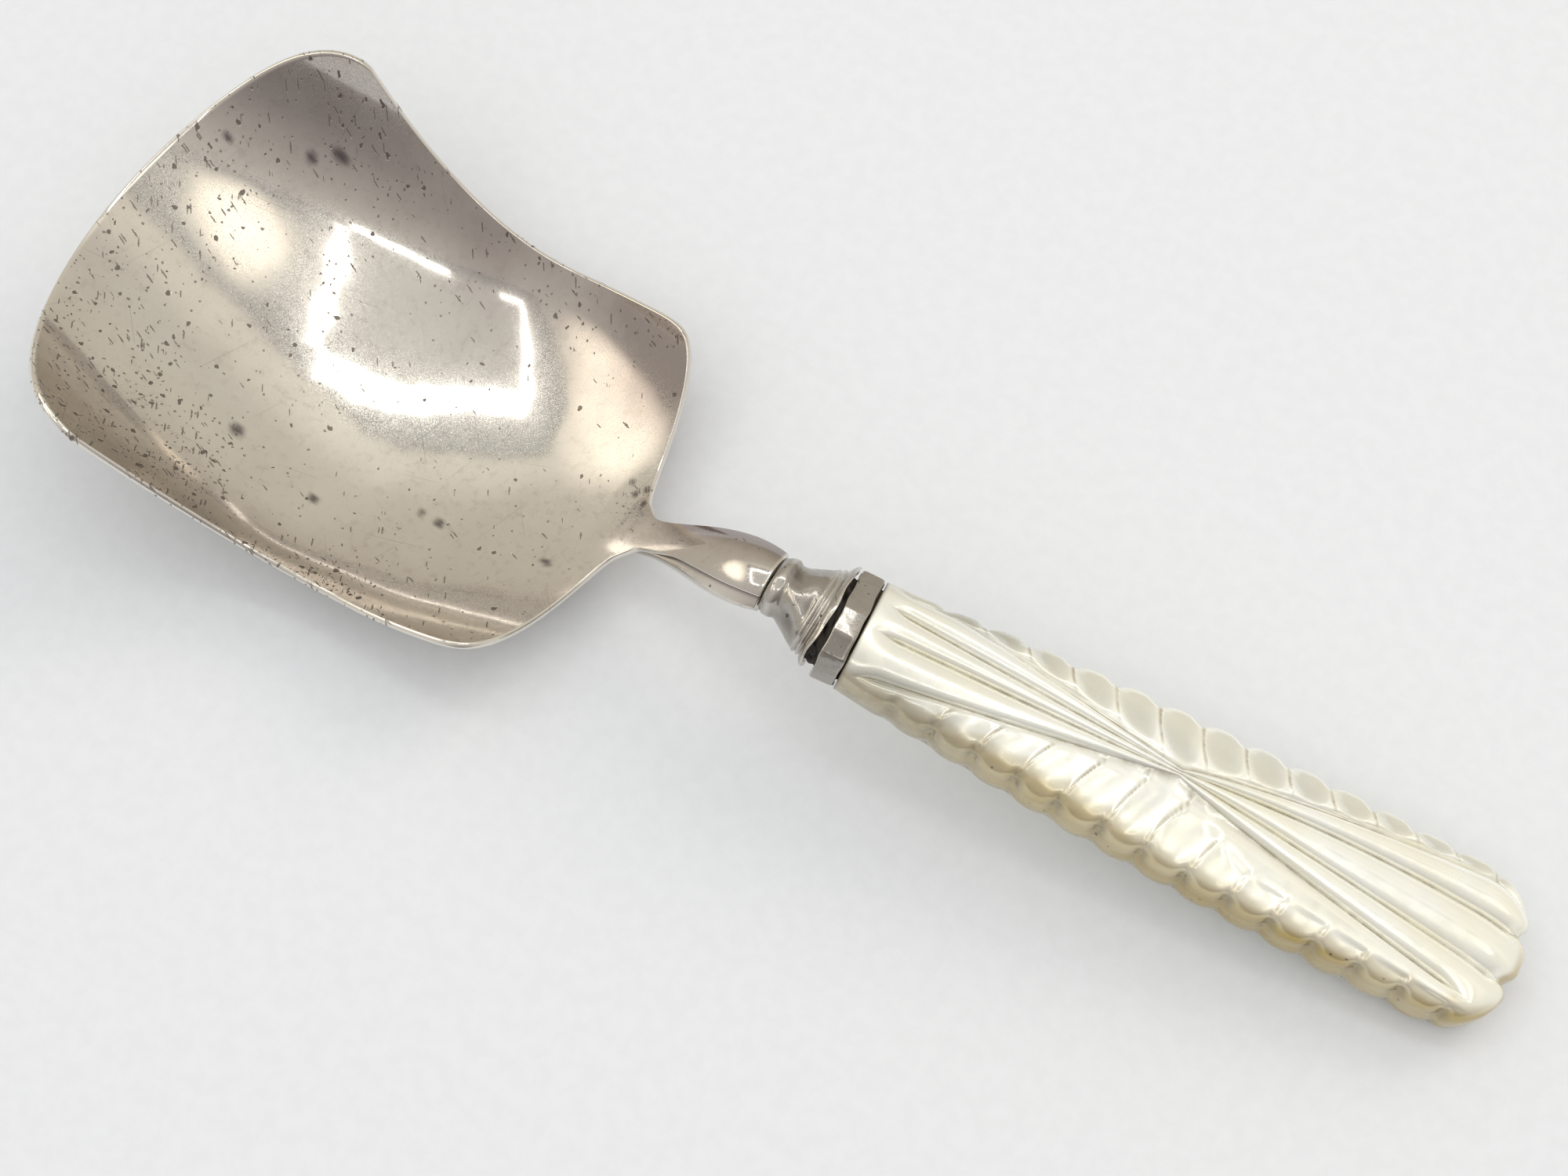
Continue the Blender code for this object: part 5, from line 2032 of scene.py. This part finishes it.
    def room_tone(self, bench: NodeBench) -> Socket:
        """Lay the ceiling over the tones of the walls.

        Args:
            bench: Where to add the nodes.

        Returns:
            The tone in each direction.  The ceiling is an oval cut off straight at one end, with
            a dim crease inside its border, a halo outside it on one side, and warm glows.
        """
        places = self.strip_places(bench)
        square = self.oval_square(bench, places, self.ceiling_middle, self.ceiling_half)
        cut = bench.plain("DIVIDE", places[0], self.ceiling_cut)
        out = bench.plain("MAXIMUM", bench.plain("POWER", square, 0.5), cut)
        tone = bench.mix(bench.span(out, *self.ceiling_edge), self.wall_tone(bench), self.ceiling_colour)
        halo = bench.times(bench.span(out, *self.halo_rise), bench.span(out, *self.halo_fall))
        halo = bench.times(halo, bench.span(places[1], *self.halo_side))
        tone = bench.mix(halo, tone, self.halo_colour)
        crease = bench.times(bench.span(out, *self.crease_rise), bench.span(out, *self.crease_fall))
        tone = bench.mix(bench.times(crease, self.crease_share), tone, self.crease_colour)
        for along, across, half_length, half_width, brightness in self.glows:
            square = self.oval_square(bench, places, (along, across), (half_length, half_width))
            share = bench.span(square, 0.0, 1.0, 1.0, 0.0)
            tone = bench.mix(share, tone, tuple(brightness * part for part in self.warm_tint))
        return tone

    def set_world(self) -> None:
        """A room for polished metal to show, pale sky over grey walls to light with, and a pale backdrop."""
        world = bpy.data.worlds.new("room")
        bpy.context.scene.world = world
        bench = NodeBench(world, "Generated")
        bench.tree.nodes.remove(bench.tree.nodes["Background"])
        rise = bench.span(bench.dot((0.0, 0.0, 1.0)), *self.roof_span)
        sky = bench.mix(rise, self.wall_colour, self.roof_colour)
        colours = (self.room_tone(bench), sky, (*self.pale_colour, 1.0))
        room, even, pale = (
            bench.add("ShaderNodeBackground", Color=colour).outputs["Background"] for colour in colours)
        rays = bench.add("ShaderNodeLightPath").outputs
        lit = bench.choose(rays["Is Glossy Ray"], even, room)
        seen = bench.choose(rays["Is Camera Ray"], lit, pale)
        bench.feed(bench.tree.nodes["World Output"].inputs["Surface"], seen)

    @staticmethod
    def oval_square(bench: NodeBench, places: list[Socket], middle: Pair, half: Pair) -> Socket:
        """Square of the distance from the middle of an oval, as a share of its reach.

        Args:
            bench: Where to add the nodes.
            places: Places along and across in the plane of the strips.
            middle: Middle of the oval in that plane.
            half: Its half length and half width.

        Returns:
            0 at the middle, 1 on the oval.
        """
        squares = []
        for place, centre, size in zip(places, middle, half):
            share = bench.plain("DIVIDE", bench.plain("SUBTRACT", place, centre), size)
            squares.append(bench.plain("POWER", share, 2.0))
        return bench.plain("ADD", *squares)

    def lay_floor(self) -> None:
        """A plain pale floor with a faint paper grain, fading to an even glow far from the spoon."""
        bench = NodeBench.of_material("paper_floor")
        grain = bench.span(bench.noise(*self.paper_noise), *self.paper_span)
        tint = tuple(self.paper_shade * part for part in self.floor_colour)
        bench.set(Base_Color=bench.mix(grain, self.floor_colour, tint))
        bench.set(Roughness=self.paper_rough, Specular_IOR_Level=self.paper_sheen)
        glow = bench.add("ShaderNodeEmission", Color=(*self.pale_colour, 1.0)).outputs["Emission"]
        far = bench.span(bench.vector("LENGTH", bench.place, output="Value"), *self.floor_fade)
        rays = bench.add("ShaderNodeLightPath").outputs
        mirrored = bench.math("MAXIMUM", rays["Is Glossy Ray"], rays["Is Transmission Ray"])
        seen = bench.math("MAXIMUM", rays["Is Camera Ray"], mirrored)
        paper = bench.tree.nodes["Principled BSDF"].outputs["BSDF"]
        mixed = bench.choose(bench.times(far, seen), paper, glow)
        bench.feed(bench.tree.nodes["Material Output"].inputs["Surface"], mixed)
        half = self.floor_half
        corners = ((-half, -half), (half, -half), (half, half), (-half, half))
        mesh = bpy.data.meshes.new("floor")
        mesh.from_pydata([(x, y, -self.floor_drop) for x, y in corners], [], [(0, 1, 2, 3)])
        mesh.materials.append(bench.owner)
        floor = bpy.data.objects.new("floor", mesh)
        bpy.context.scene.collection.objects.link(floor)


def dress_hidden(nodes: dict[str, Item], pitch: Material) -> None:
    """Give the CAD nodes that stay their finishes.

    Args:
        nodes: CAD nodes by name.
        pitch: Finish of the cement in the bore.
    """
    finishes = {"bore_cement": pitch, "tang": IronFinish().make()}
    for name, material in finishes.items():
        nodes[name].data.materials.clear()
        nodes[name].data.materials.append(material)
        LOG.info("%s: CAD node in %s", name, material.name)


def main() -> None:
    """Load the frame, build and dress every piece and light the studio."""
    logging.basicConfig(level=logging.INFO, format="%(message)s")
    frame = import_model()
    joint = Joint()
    bowl = Bowl()
    collar = Collar(joint)
    handle = Handle(joint, collar)
    slope = handle.pitch_down()
    silver = SilverFinish("silver_raised").make()
    worn = SilverFinish(
        "silver_crumpled", bright=(0.72, 0.69, 0.635), dull=(0.60, 0.57, 0.52), tarnish=(0.20, 0.178, 0.16),
        gloss=0.12, matt=0.3, dent_depth=0.00006, dent_noise=(800.0, 1.0, 0.4)).make()
    pearl = PearlFinish().make()
    bowl.build(silver)
    StemRod(bowl).build(silver)
    Ferrule(joint).build(worn)
    collar.build(worn, slope)
    handle.build(pearl, slope)
    pitch = PitchFinish().make()
    PitchPlug(joint).build(pitch, slope)
    dress_hidden(frame["nodes"], pitch)
    studio = Studio()
    studio.place_camera()
    studio.light()
    studio.set_world()
    studio.lay_floor()
    bpy.context.scene.view_settings.view_transform = "Standard"


if __name__ == "__main__":
    main()
